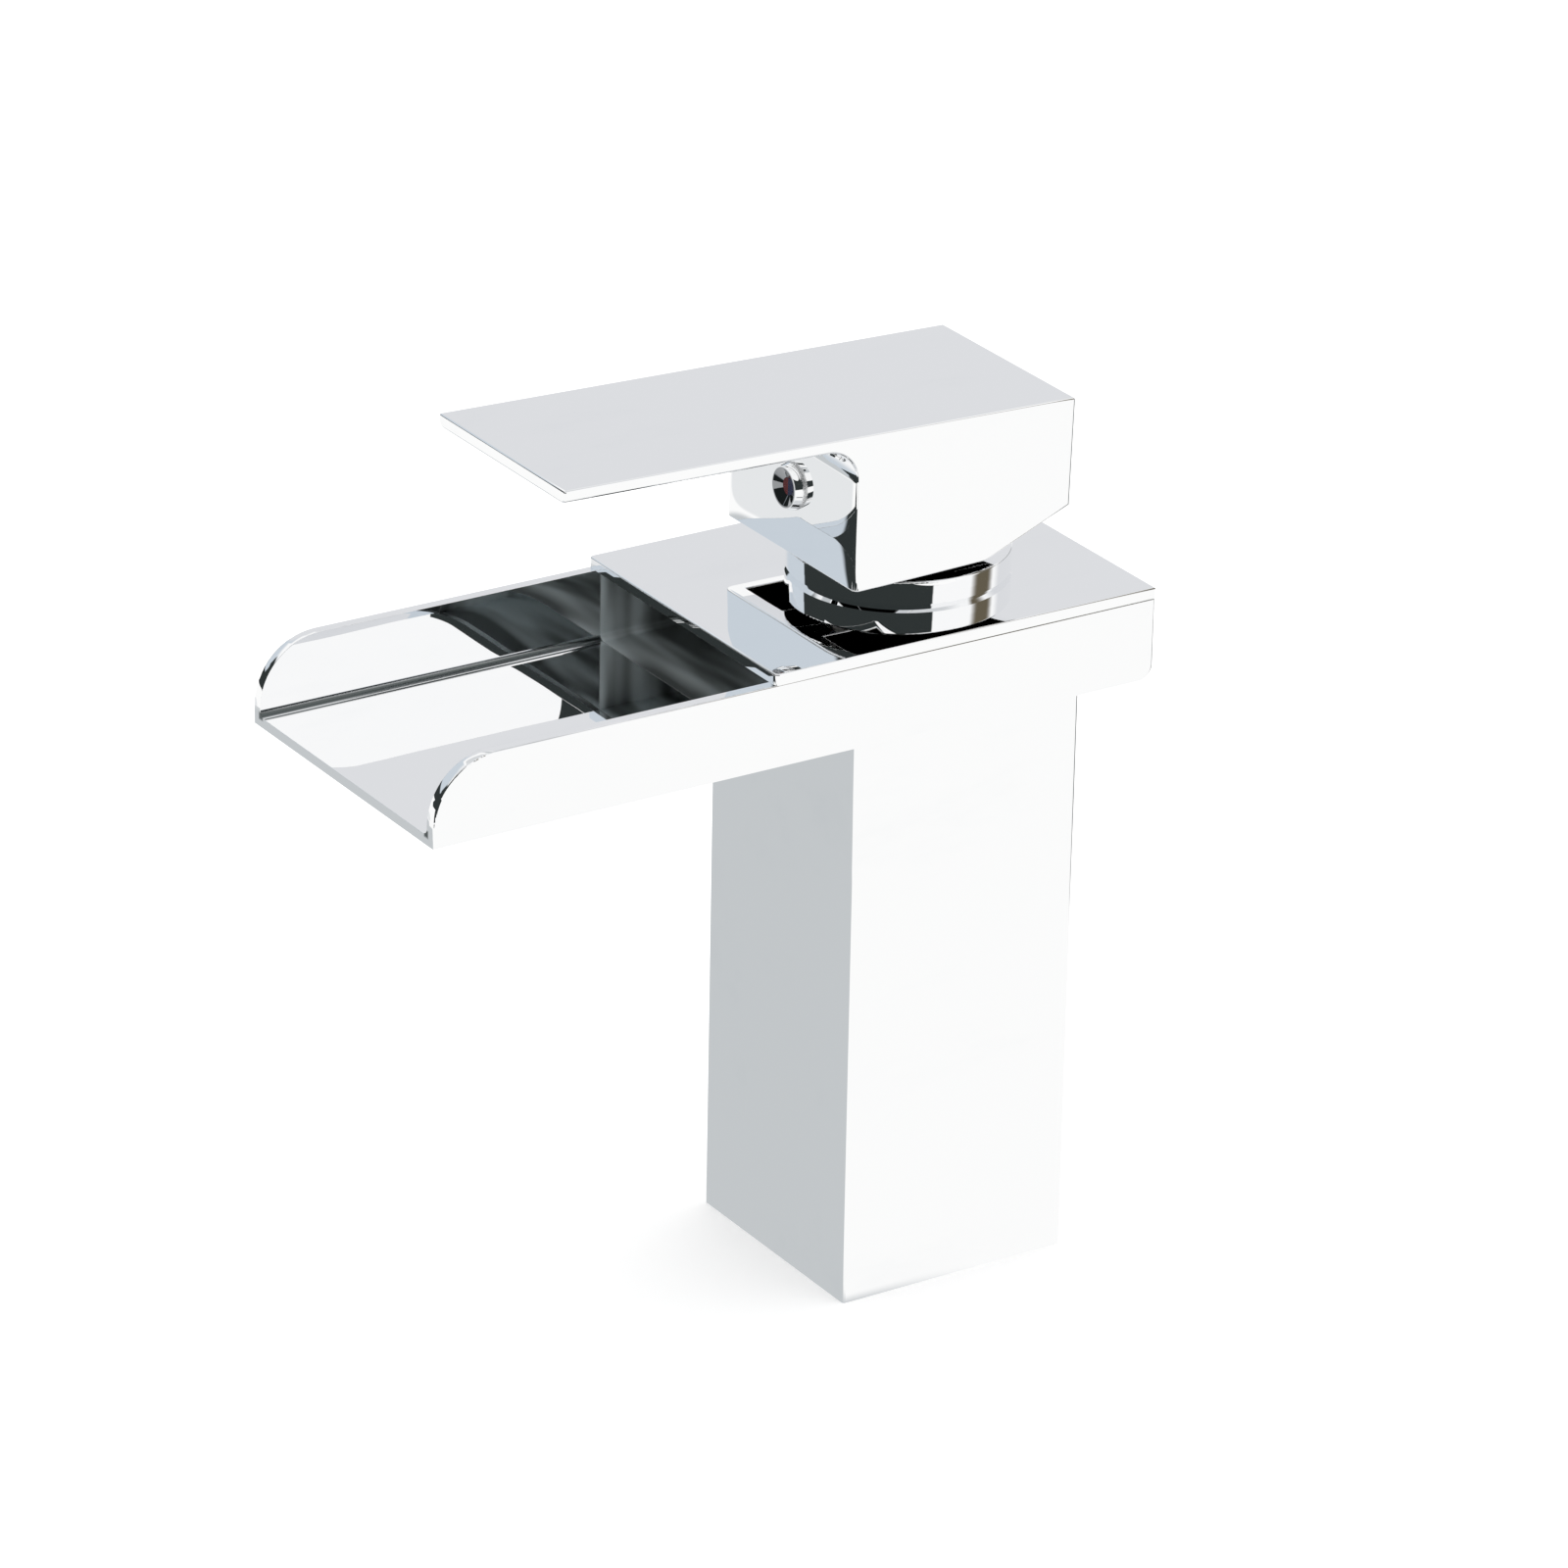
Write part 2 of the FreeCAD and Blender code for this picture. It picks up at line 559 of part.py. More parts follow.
def cut_water_passages(body):
    """Riser sockets, ports, and the way of the mixed water to the window behind the neck."""
    sides = ("-Worked.riser_side", "Worked.riser_side")
    sockets = new_sketch(body, "XY_Plane", "Worked.valve_foot")
    for side in sides:
        add_circle(sockets, "Worked.riser_socket", side, "Worked.riser_line")
    pocket(body, sockets, "Sizes.riser_seat", upwards=True)
    ring_width = "Sizes.riser_ring_section + 2 * Sizes.seal_gap"
    ring_grooves = new_sketch(body, "XY_Plane",
                              f"Worked.valve_foot + Sizes.riser_ring_height - ({ring_width}) / 2")
    for side in sides:
        add_circle(ring_grooves, f"Sizes.riser_diameter + 2 * ({ring_width})", side,
                   "Worked.riser_line")
    pocket(body, ring_grooves, ring_width, upwards=True)
    ports = new_sketch(body, "XY_Plane", "Worked.chamber_floor")
    for side in sides:
        add_circle(ports, "Sizes.port_diameter", side, "Worked.riser_line")
    pocket(body, ports, "Sizes.valve_floor - Sizes.riser_seat")
    pegs = new_sketch(body, "XY_Plane", "Worked.chamber_floor")
    for side in ("-Sizes.peg_spread / 2", "Sizes.peg_spread / 2"):
        add_circle(pegs, "Sizes.peg_diameter + 2 * Sizes.seal_gap", side, "Sizes.peg_back")
    pocket(body, pegs, "Sizes.peg_length")
    passage = new_sketch(body, "XY_Plane", "Worked.chamber_floor")
    add_rectangle(passage, "-Sizes.passage_width / 2", "Sizes.outlet_back / 2",
                  "Sizes.passage_width / 2", "Sizes.chamber_diameter / 2")
    pocket(body, passage, "Sizes.passage_height")
    rise = body.newObject("PartDesign::SubtractiveCylinder", "rising_groove")
    rise.AttachmentSupport = [(origin_plane(body, "XY_Plane"), "")]
    rise.MapMode = "FlatFace"
    rise.AttachmentOffset = Placement(Vector(0, 0, 0), Rotation(Z_AXIS, 1))
    rise.setExpression("AttachmentOffset.Base.z", "Worked.passage_foot")
    rise.setExpression("AttachmentOffset.Rotation.Angle", "90 - Sizes.rise_angle / 2")
    rise.setExpression("Radius", "Sizes.chamber_diameter / 2 + Sizes.rise_depth")
    rise.setExpression("Angle", "Sizes.rise_angle")
    rise.setExpression("Height", "Worked.window_top - Worked.passage_foot")
    window = new_sketch(body, "XY_Plane", "Worked.window_foot")
    add_rectangle(window, "-Sizes.window_width / 2", "Sizes.chamber_diameter / 3",
                  "Sizes.window_width / 2", f"Sizes.neck_diameter / 2 + {BEYOND}")
    pocket(body, window, "Sizes.window_height", upwards=True)


def make_neck_gasket():
    """Square rubber gasket that seals the valve block under the trough."""
    body = new_body("neck_gasket")
    outline = new_sketch(body, "XY_Plane", "Worked.block_top")
    add_square(outline, "Worked.block_side")
    add_circle(outline, "Worked.neck_hole")
    pad(body, outline, "Sizes.neck_gasket_thickness")


def make_neck_nut():
    """Flat hexagon nut that clamps the trough's floor on the valve block."""
    body = new_body("neck_nut")
    outline = new_sketch(body, "XY_Plane", "Worked.floor_top")
    add_hexagon(outline, "Sizes.neck_nut_width")
    add_circle(outline, "Worked.neck_hole")
    pad(body, outline, "Sizes.neck_nut_thickness")


# ---- Spout -------------------------------------------------------------------------------


def make_spout_trough():
    """Open brass channel: floor, two side walls with rounded front corners and a back wall."""
    body = new_body("spout_trough")
    half = number("Sizes.trough_width / 2")
    lip = number("-Sizes.trough_reach")
    tail = number("Sizes.trough_tail")
    foot = number("Sizes.column_height")
    top = number("Worked.wall_top")
    outline = new_sketch(body, "XY_Plane", "Sizes.column_height")
    add_rectangle(outline, "-Sizes.trough_width / 2", "-Sizes.trough_reach",
                  "Sizes.trough_width / 2", "Sizes.trough_tail")
    pad(body, outline, "Sizes.trough_wall_height")
    channel = new_sketch(body, "XY_Plane", "Worked.wall_top")
    add_rectangle(channel, "Sizes.trough_wall - Sizes.trough_width / 2",
                  f"-Sizes.trough_reach - {BEYOND}",
                  "Sizes.trough_width / 2 - Sizes.trough_wall",
                  "Sizes.trough_tail - Sizes.trough_wall")
    folded = pocket(body, channel, "Worked.wall_top - Worked.floor_top")
    folded = round_edges(body, folded, "Sizes.trough_lip_radius",
                         lambda edge, middle: along(edge, X_AXIS) and near(middle.y, lip)
                         and near(middle.z, top))
    folded = round_edges(body, folded, "Sizes.trough_bend_radius",
                         lambda edge, middle: along(edge, X_AXIS) and near(middle.y, tail)
                         and near(middle.z, foot))
    hole = new_sketch(body, "XY_Plane", "Worked.floor_top")
    add_circle(hole, "Worked.neck_hole")
    folded = pocket(body, hole, "Sizes.trough_floor")
    folded = round_edges(body, folded, "Sizes.sheet_edge_radius",
                         lambda edge, middle: near(abs(middle.x), half)
                         and not near(middle.z, foot) and not near(middle.y, tail))
    inside = number("Sizes.trough_width / 2 - Sizes.trough_wall")
    inside_back = number("Sizes.trough_tail - Sizes.trough_wall")
    floor_top = number("Worked.floor_top")
    round_edges(body, folded, "Sizes.trough_root_radius",
                lambda edge, middle: near(middle.z, floor_top)
                and (near(abs(middle.x), inside) or near(middle.y, inside_back)))


def make_spout_cover():
    """Flat plate on the trough's walls, holed for the valve's neck."""
    body = new_body("spout_cover")
    outline = new_sketch(body, "XY_Plane", "Worked.wall_top")
    add_rectangle(outline, "-Sizes.trough_width / 2", "-Sizes.cover_front",
                  "Sizes.trough_width / 2", "Sizes.trough_tail")
    add_circle(outline, "Worked.neck_hole")
    plate = pad(body, outline, "Sizes.cover_thickness")
    plate = round_edges(body, plate, "Sizes.cover_corner_radius",
                        lambda edge, middle: along(edge, Z_AXIS) and middle.y < 0)
    top = number("Worked.cover_top")
    bore = number("Worked.neck_hole / 2")
    round_edges(body, plate, "Sizes.sheet_edge_radius",
                lambda edge, middle: near(middle.z, top)
                and not near(Vector(middle.x, middle.y, 0).Length, bore))


def make_bonnet_ring():
    """Polished ring that screws on the neck, holds the cover down and hides the nut."""
    body = new_body("bonnet_ring")
    section = new_sketch(body, "XZ_Plane")
    outer = "Sizes.ring_diameter / 2"
    thread = "Worked.neck_hole / 2"
    add_outline(section, [
        (thread, "Worked.cover_top"), (outer, "Worked.cover_top"), (outer, "Worked.ring_top"),
        ("Sizes.ring_opening / 2", "Worked.ring_top"),
        ("Sizes.ring_opening / 2", "Worked.ring_top - Sizes.ring_lip"),
        (thread, "Worked.ring_top - Sizes.ring_lip")])
    turned = revolve(body, section)
    wide = number(outer)
    top = number("Worked.ring_top")
    foot = number("Worked.cover_top")

    def outer_circle(edge, level):
        return (isinstance(edge.Curve, Part.Circle) and near(edge.Curve.Radius, wide)
                and near(edge.Curve.Center.z, level))

    turned = round_edges(body, turned, "Sizes.ring_shoulder_radius",
                         lambda edge, middle: outer_circle(edge, top))
    bevel_edges(body, turned, "Sizes.ring_foot_chamfer",
                lambda edge, middle: outer_circle(edge, foot))


# ---- Cartridge ---------------------------------------------------------------------------


PORTS = [  # the cartridge's three ports: diameter, place across, place along
    ("Sizes.port_diameter", "-Worked.riser_side", "Worked.riser_line"),
    ("Sizes.port_diameter", "Worked.riser_side", "Worked.riser_line"),
    ("Sizes.outlet_diameter", "0", "Sizes.outlet_back"),
]


def make_cartridge_nut():
    """Slotted brass nut that presses the cartridge down in its chamber."""
    body = new_body("cartridge_nut")
    section = new_sketch(body, "XZ_Plane")
    bore = "Sizes.housing_neck_diameter / 2 + Sizes.neck_gap"
    thread = "Sizes.chamber_diameter / 2 - Sizes.running_gap"
    nut_top = "Worked.housing_top - Sizes.nut_drop"
    add_outline(section, [(bore, "Worked.shoulder"), (thread, "Worked.shoulder"),
                          (thread, nut_top), (bore, nut_top)])
    revolve(body, section)
    slot = new_sketch(body, "XY_Plane", nut_top)
    add_rectangle(slot, "Sizes.housing_neck_diameter / 3", "-Sizes.tongue_width / 2",
                  f"Sizes.chamber_diameter / 2 + {BEYOND}", "Sizes.tongue_width / 2")
    notch = pocket(body, slot, "Sizes.tongue_height")
    pattern = body.newObject("PartDesign::PolarPattern", "nut_slots")
    pattern.Originals = [notch]
    pattern.Axis = (slot, ["N_Axis"])
    pattern.Angle = 360
    pattern.Occurrences = 4
    body.Tip = pattern


def make_cartridge_housing():
    """Turned cup over the discs, with the neck that the nut goes round."""
    body = new_body("cartridge_housing")
    section = new_sketch(body, "XZ_Plane")
    outer = "Worked.cartridge_radius"
    neck = "Sizes.housing_neck_diameter / 2"
    barrel = "Sizes.guide_diameter / 2 + Sizes.running_gap"
    add_outline(section, [
        ("Worked.housing_bore", "Worked.housing_foot"), (outer, "Worked.housing_foot"),
        (outer, "Worked.shoulder"), (neck, "Worked.shoulder"), (neck, "Worked.housing_top"),
        (barrel, "Worked.housing_top"), (barrel, "Worked.ceiling"),
        ("Worked.housing_bore", "Worked.ceiling")])
    revolve(body, section)


def make_cartridge_base():
    """Foot of the cartridge: flange, disc seat with its rim, ports, seal grooves and pegs."""
    body = new_body("cartridge_base")
    flange = new_sketch(body, "XY_Plane", "Worked.chamber_floor")
    add_circle(flange, "2 * Worked.cartridge_radius")
    pad(body, flange, "Sizes.base_flange_height")
    cup = new_sketch(body, "XY_Plane", "Worked.housing_foot")
    add_circle(cup, "2 * (Worked.housing_bore - Sizes.running_gap)")
    rim_top = "Worked.disc_seat + Sizes.base_rim_height"
    pad(body, cup, f"{rim_top} - Worked.housing_foot")
    seat = new_sketch(body, "XY_Plane", rim_top)
    add_circle(seat, "Sizes.disc_diameter + 2 * Sizes.seal_gap")
    pocket(body, seat, "Sizes.base_rim_height")
    holes = new_sketch(body, "XY_Plane", "Worked.disc_seat")
    for port in PORTS:
        add_circle(holes, *port)
    pocket(body, holes, "Sizes.cartridge_base_height")
    for level, upwards in (("Worked.disc_seat", False), ("Worked.chamber_floor", True)):
        grooves = new_sketch(body, "XY_Plane", level)
        for diameter, across, along_y in PORTS:
            add_circle(grooves, f"{diameter} + 2 * (Sizes.port_seal_width + Sizes.seal_gap)",
                       across, along_y)
        pocket(body, grooves, "Sizes.port_seal_height", upwards=upwards)
    pegs = new_sketch(body, "XY_Plane", "Worked.chamber_floor")
    for side in ("-Sizes.peg_spread / 2", "Sizes.peg_spread / 2"):
        add_circle(pegs, "Sizes.peg_diameter", side, "Sizes.peg_back")
    pad(body, pegs, "Sizes.peg_length", downwards=True)


def make_port_seals(name, level):
    """Three flat rubber rings, one round each port."""
    rings = [seal_ring(diameter, "Sizes.port_seal_width", "Sizes.port_seal_height", level,
                       across, along_y)
             for diameter, across, along_y in PORTS]
    as_node(group(rings), name)


def make_fixed_disc():
    """Ceramic disc with the three ports, at rest in the base."""
    disc = cylinder("Sizes.disc_diameter", "Sizes.disc_thickness", "Worked.disc_seat")
    ports = [cylinder(diameter, "Sizes.disc_thickness", "Worked.disc_seat", across, along_y)
             for diameter, across, along_y in PORTS]
    as_node(cut(disc, join(ports)), "fixed_disc")


def make_moving_disc():
    """Ceramic disc with the mixing hollow, which slides and turns on the fixed disc."""
    disc = cylinder("Sizes.moving_disc_diameter", "Sizes.disc_thickness", "Worked.moving_foot",
                    "0", "Sizes.moving_disc_back")
    ends = [cylinder("2 * Sizes.mixing_radius", "Sizes.mixing_depth", "Worked.moving_foot",
                     side, "Sizes.mixing_back")
            for side in ("-Sizes.mixing_spread / 2", "Sizes.mixing_spread / 2")]
    middle = block("-Sizes.mixing_spread / 2", "Sizes.mixing_spread / 2",
                   "Sizes.mixing_back - Sizes.mixing_radius",
                   "Sizes.mixing_back + Sizes.mixing_radius",
                   "Worked.moving_foot", "Worked.moving_foot + Sizes.mixing_depth")
    as_node(cut(disc, join(ends + [middle])), "moving_disc")


def make_disc_carrier():
    """Carrier with two tongues above and a socket for the stem's ball."""
    plate = cylinder("Sizes.moving_disc_diameter", "Sizes.carrier_thickness",
                     "Worked.carrier_foot", "0", "Sizes.moving_disc_back")
    tongues = [block(f"{side} * Sizes.tongue_spread / 2 - Sizes.tongue_width / 2",
                     f"{side} * Sizes.tongue_spread / 2 + Sizes.tongue_width / 2",
                     "Sizes.moving_disc_back - Sizes.tongue_length / 2",
                     "Sizes.moving_disc_back + Sizes.tongue_length / 2",
                     "Worked.carrier_foot", "Worked.carrier_top + Sizes.tongue_height")
               for side in ("-1", "1")]
    reach = "(Sizes.ball_radius + Sizes.ball_gap)"
    socket = block(f"-{reach}", reach, f"Worked.ball_shift - {reach}",
                   f"Worked.ball_shift + {reach}", "Worked.carrier_foot", "Worked.carrier_top")
    mouth = block(f"-{reach}", reach, f"Worked.ball_shift - {reach}",
                  f"Worked.ball_shift + {reach} + Sizes.ball_relief",
                  "Worked.carrier_top - Sizes.ball_relief_height", "Worked.carrier_top")
    as_node(cut(join([plate] + tongues), join([socket, mouth])), "disc_carrier")


def make_swivel_guide():
    """Turning guide: flange with two slots for the tongues, and a barrel with the stem's slot."""
    body = new_body("swivel_guide")
    section = new_sketch(body, "XZ_Plane")
    flange = "Worked.housing_bore - Sizes.cartridge_gap"
    barrel = "Sizes.guide_diameter / 2"
    add_outline(section, [("0", "Worked.guide_foot"), (flange, "Worked.guide_foot"),
                          (flange, "Worked.flange_top"), (barrel, "Worked.flange_top"),
                          (barrel, "Worked.guide_top"), ("0", "Worked.guide_top")])
    revolve(body, section)
    half_slot = "(Sizes.stem_side / 2 + Sizes.stem_side_gap)"
    slot = new_sketch(body, "XY_Plane", "Worked.guide_top")
    add_rectangle(slot, f"-{half_slot}", "-Sizes.guide_slot_front", half_slot,
                  "Sizes.guide_slot_back")
    pocket(body, slot, "Worked.guide_top - Worked.guide_foot")
    tracks = new_sketch(body, "XY_Plane", "Worked.guide_foot")
    half_track = "(Sizes.tongue_width / 2 + Sizes.tongue_gap)"
    front = ("Sizes.moving_disc_back - Sizes.tongue_length / 2 - Sizes.carrier_travel"
             " - Sizes.tongue_gap")
    back = "Sizes.moving_disc_back + Sizes.tongue_length / 2 + Sizes.tongue_gap"
    for side in ("-1", "1"):
        line = f"{side} * Sizes.tongue_spread / 2"
        add_rectangle(tracks, f"{line} - {half_track}", front, f"{line} + {half_track}", back)
    pocket(body, tracks, "Sizes.tongue_height + Sizes.tongue_gap", upwards=True)
    cross_hole = new_sketch(body, "YZ_Plane")
    add_circle(cross_hole, "Sizes.pin_diameter", "0", "Worked.pivot")
    pocket(body, cross_hole, f"Sizes.guide_diameter + {BEYOND}", side="Symmetric")
    groove = new_sketch(body, "XZ_Plane")
    width = "(Sizes.guide_ring_section + 2 * Sizes.seal_gap)"
    level = "Worked.shoulder + Sizes.guide_ring_height"
    add_rectangle(groove, f"{barrel} - {width}", f"{level} - {width} / 2",
                  f"{barrel} + {BEYOND}", f"{level} + {width} / 2")
    revolve(body, groove, cut=True)


def make_guide_seal():
    """Square-cut sealing ring in the guide's groove."""
    level = ("Worked.shoulder + Sizes.guide_ring_height"
             " - Sizes.guide_ring_section / 2")
    ring = seal_ring("Sizes.guide_diameter - 2 * Sizes.guide_ring_section - 2 * Sizes.seal_gap",
                     "Sizes.guide_ring_section", "Sizes.guide_ring_section", level)
    as_node(ring, "guide_seal")


def make_pivot_pin():
    """Steel pin across the guide, on which the stem rocks."""
    body = new_body("pivot_pin")
    section = new_sketch(body, "YZ_Plane")
    add_circle(section, "Sizes.pin_diameter", "0", "Worked.pivot")
    pad(body, section, "Sizes.guide_diameter - 2 * Sizes.pin_end_gap", side="Symmetric")


def make_lever_stem():
    """Square stem with a cross hole, a round shank and the ball that drives the carrier."""
    body = new_lever_body("lever_stem")
    square = new_sketch(body, "XY_Plane", "-Sizes.stem_skirt")
    add_square(square, "Sizes.stem_side")
    stock = pad(body, square, "Worked.stem_top + Sizes.stem_skirt")
    top = number("Worked.stem_top")
    bevel_edges(body, stock, "Sizes.stem_top_chamfer",
                lambda edge, middle: near(middle.z - number("Worked.pivot"), top)
                or near(middle.z, top))
    shank = new_sketch(body, "XY_Plane", "-Sizes.stem_skirt")
    add_circle(shank, "Sizes.shank_diameter")
    pad(body, shank, "Sizes.stem_arm - Sizes.stem_skirt", downwards=True)
    ball = body.newObject("PartDesign::AdditiveSphere", "stem_ball")
    ball.AttachmentSupport = [(origin_plane(body, "XY_Plane"), "")]
    ball.MapMode = "FlatFace"
    ball.setExpression("Radius", "Sizes.ball_radius")
    ball.setExpression("AttachmentOffset.Base.z", "-Sizes.stem_arm")
    cross_hole = new_sketch(body, "YZ_Plane")
    add_circle(cross_hole, "Sizes.pin_diameter + 2 * Sizes.pin_running_gap")
    pocket(body, cross_hole, f"Sizes.stem_side + {BEYOND}", side="Symmetric")


# ---- Lever -------------------------------------------------------------------------------


def make_lever_handle():
    """Cast lever: a long thin plate on a hub that is hollow below, with a web for the stem."""
    body = new_lever_body("lever_handle")
    half = number("Sizes.lever_width / 2")
    hub = number("-Sizes.hub_front")
    foot = number("Worked.hub_toe")
    underside = number("Worked.plate_foot")
    outline = new_sketch(body, "YZ_Plane")
    add_outline(outline, [
        ("-Sizes.lever_front", "Worked.lever_top"),
        ("-Sizes.lever_front", "Worked.plate_foot"),
        ("-Sizes.hub_front", "Worked.plate_foot"),
        ("-Sizes.hub_front", "Worked.hub_toe"),
        ("Sizes.hub_flat_end", "Worked.hub_foot"),
        ("Sizes.lever_back", "Worked.hub_foot + Sizes.hub_back_rise"),
        ("Sizes.lever_back", "Worked.lever_top")])
    cast = pad(body, outline, "Sizes.lever_width", side="Symmetric")
    cast = round_edges(body, cast, "Sizes.root_radius",
                       lambda edge, middle: along(edge, X_AXIS) and near(middle.y, hub)
                       and near(middle.z, underside))
    cast = round_edges(body, cast, "Sizes.hub_edge_radius",
                       lambda edge, middle: near(abs(middle.x), half)
                       and foot < middle.z < underside + 0.001 and middle.y < hub + 0.001)
    cast = round_edges(body, cast, "Sizes.lever_edge_radius",
                       lambda edge, middle: near(abs(middle.x), half)
                       or (along(edge, X_AXIS) and not near(middle.y, hub)
                           and middle.z > underside - number("Sizes.root_radius") / 2))
    hollow = new_sketch(body, "XY_Plane", "Worked.hub_toe")
    inner = "(Sizes.lever_width / 2 - Sizes.hub_side_wall)"
    front = "Sizes.hub_wall - Sizes.hub_front"
    back = "Sizes.lever_back - Sizes.hub_wall"
    web = "(Sizes.web_width / 2)"
    add_outline(hollow, [
        (f"-{inner}", front), (f"-{web}", front), (f"-{web}", "Sizes.web_back"),
        (web, "Sizes.web_back"), (web, front), (inner, front), (inner, back),
        (f"-{inner}", back)])
    depth = "Sizes.hub_front_drop + Sizes.lever_height - Sizes.hub_roof"
    cast = pocket(body, hollow, depth, upwards=True)
    socket = new_sketch(body, "XY_Plane", "Worked.hub_toe")
    add_square(socket, "Worked.socket_side")
    pocket(body, socket, "Sizes.hub_front_drop + Sizes.stem_engagement + Sizes.socket_headroom",
           upwards=True)
    plug_bore = new_sketch(body, "XZ_Plane", "Sizes.hub_front")
    add_circle(plug_bore, "Sizes.button_plug_diameter + 2 * Sizes.screw_gap", "0",
               "Worked.screw_line")
    pocket(body, plug_bore, "Sizes.hub_front - Sizes.screw_bore_start")
    screw_bore = new_sketch(body, "XZ_Plane", "Sizes.screw_bore_start")
    add_circle(screw_bore, "Sizes.screw_diameter + 2 * Sizes.screw_gap", "0",
               "Worked.screw_line")
    pocket(body, screw_bore, "Sizes.screw_bore_start")


def make_set_screw():
    """Headless screw that grips the stem through the front of the hub."""
    body = new_lever_body("set_screw")
    tip = "Sizes.stem_side / 2"
    section = new_sketch(body, "XZ_Plane", tip)
    add_circle(section, "Sizes.screw_diameter", "0", "Worked.screw_line")
    pad(body, section, "Sizes.screw_length")
    key = new_sketch(body, "XZ_Plane", f"{tip} + Sizes.screw_length")
    add_hexagon(key, "Sizes.screw_key_width", "0", "Worked.screw_line")
    pocket(body, key, "Sizes.screw_key_depth")


def make_index_button():
    """Dished round button that closes the screw's bore and holds the hot and cold marks."""
    body = new_lever_body("index_button")
    section = new_sketch(body, "YZ_Plane")
    face = "-Sizes.hub_front"
    rim = f"{face} - Sizes.button_proud"
    plug_end = f"{face} + Sizes.button_plug_length"
    floor = "-Worked.dish_floor"
    line = "Worked.screw_line"
    radius = "Sizes.button_diameter / 2"
    mark = "(Sizes.mark_diameter / 2 + Sizes.seal_gap)"
    plug = "Sizes.button_plug_diameter / 2"
    add_outline(section, [
        (face, f"{line} + {radius}"),
        (rim, f"{line} + {radius} - Sizes.button_taper"),
        (rim, f"{line} + {radius} - Sizes.button_taper - Sizes.button_rim"),
        (floor, f"{line} + {mark}"),
        ("-Worked.mark_foot", f"{line} + {mark}"),
        ("-Worked.mark_foot", line),
        (f"{face} + Sizes.button_plug_wall", line),
        (f"{face} + Sizes.button_plug_wall", f"{line} + {plug} - Sizes.button_plug_wall"),
        (plug_end, f"{line} + {plug} - Sizes.button_plug_wall"),
        (plug_end, f"{line} + {plug}"),
        (face, f"{line} + {plug}")])
    level = number(line)
    start = Vector(number(rim), level, 0)
    end = Vector(number(plug_end), level, 0)
    axis = sketch_axis(section, start, end, rim, plug_end, line)
    revolve(body, section, axis)


def sketch_axis(sketch, start, end, start_across, end_across, level):
    """A construction line of a sketch, to turn its outline about."""
    line = sketch.addGeometry(Part.LineSegment(start, end), True)
    bind(sketch, "DistanceX", (line, 1), start_across)
    bind(sketch, "DistanceY", (line, 1), level)
    bind(sketch, "DistanceX", (line, 2), end_across)
    bind(sketch, "DistanceY", (line, 2), level)
    return "Axis0"


def make_index_mark(name, side):
    """Half of the round mark in the button's dish."""
    body = new_lever_body(name)
    disc = new_sketch(body, "XZ_Plane", "Worked.mark_foot")
    add_circle(disc, "Sizes.mark_diameter", "0", "Worked.screw_line")
    pad(body, disc, "Sizes.mark_thickness")
    other_half = new_sketch(body, "XZ_Plane", "Worked.dish_floor")
    edges = ("0", f"{side} * Sizes.mark_diameter")
    below = "Worked.screw_line - Sizes.mark_diameter"
    above = "Worked.screw_line + Sizes.mark_diameter"
    add_rectangle(other_half, edges[0], below, edges[1], above)
    pocket(body, other_half, "Sizes.mark_thickness")


# ---- Whole faucet ------------------------------------------------------------------------


def check_document():
    """Stop if a feature failed, a cut removed nothing, or a node has no sound solid."""
    for part in doc.Objects:
        if "Invalid" in part.State or "Error" in part.State:
            raise RuntimeError(f"{part.Label} failed to recompute")
    for body in nodes:
        if body.Shape.isNull() or not body.Shape.isValid() or not body.Shape.Solids:
            raise RuntimeError(f"{body.Label} has no valid solid")
        if not body.isDerivedFrom("PartDesign::Body"):
            continue
        volume = 0
        for feature in body.Group:
            if not feature.isDerivedFrom("PartDesign::Feature"):
                continue
            if "Pocket" in feature.TypeId or "Groove" in feature.TypeId:
                if feature.Shape.Volume > volume - 0.01:
                    raise RuntimeError(f"{feature.Label} of {body.Label} cuts nothing")
            volume = feature.Shape.Volume


def main():
    """Make every piece, check it and write its file."""
    make_column_body()
    make_base_plate()
    make_foot_seal()
    make_riser("hot_riser", "-Worked.riser_side")
    make_riser("cold_riser", "Worked.riser_side")
    make_riser_seals()
    make_valve_body()
    make_neck_gasket()
    make_neck_nut()
    make_spout_trough()
    make_spout_cover()
    make_bonnet_ring()
    make_cartridge_nut()
    make_cartridge_housing()
    make_cartridge_base()
    make_port_seals("chamber_seals", "Worked.chamber_floor")
    make_port_seals("disc_seals", "Worked.disc_seat - Sizes.port_seal_height")
    make_fixed_disc()
    make_moving_disc()
    make_disc_carrier()
    make_swivel_guide()
    make_guide_seal()
    make_pivot_pin()
    make_lever_stem()
    make_lever_handle()
    make_set_screw()
    make_index_button()
    make_index_mark("hot_mark", "1")
    make_index_mark("cold_mark", "-1")
    doc.recompute()
    check_document()
    os.makedirs(OUTPUT_FOLDER, exist_ok=True)
    for node in nodes:
        node.Shape.exportStep(os.path.join(OUTPUT_FOLDER, node.Label + ".step"))
        solids = len(node.Shape.Solids)
        print(f"{node.Label}: {solids} solid(s), {node.Shape.Volume:.1f} mm3")


main()
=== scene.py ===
"""Dresses the waterfall basin faucet: its finishes, its screw threads, its stage and its camera."""
import json
import math

import bmesh
import bpy
from bpy.props import FloatProperty, FloatVectorProperty, IntProperty, PointerProperty
from mathutils import Matrix, Vector


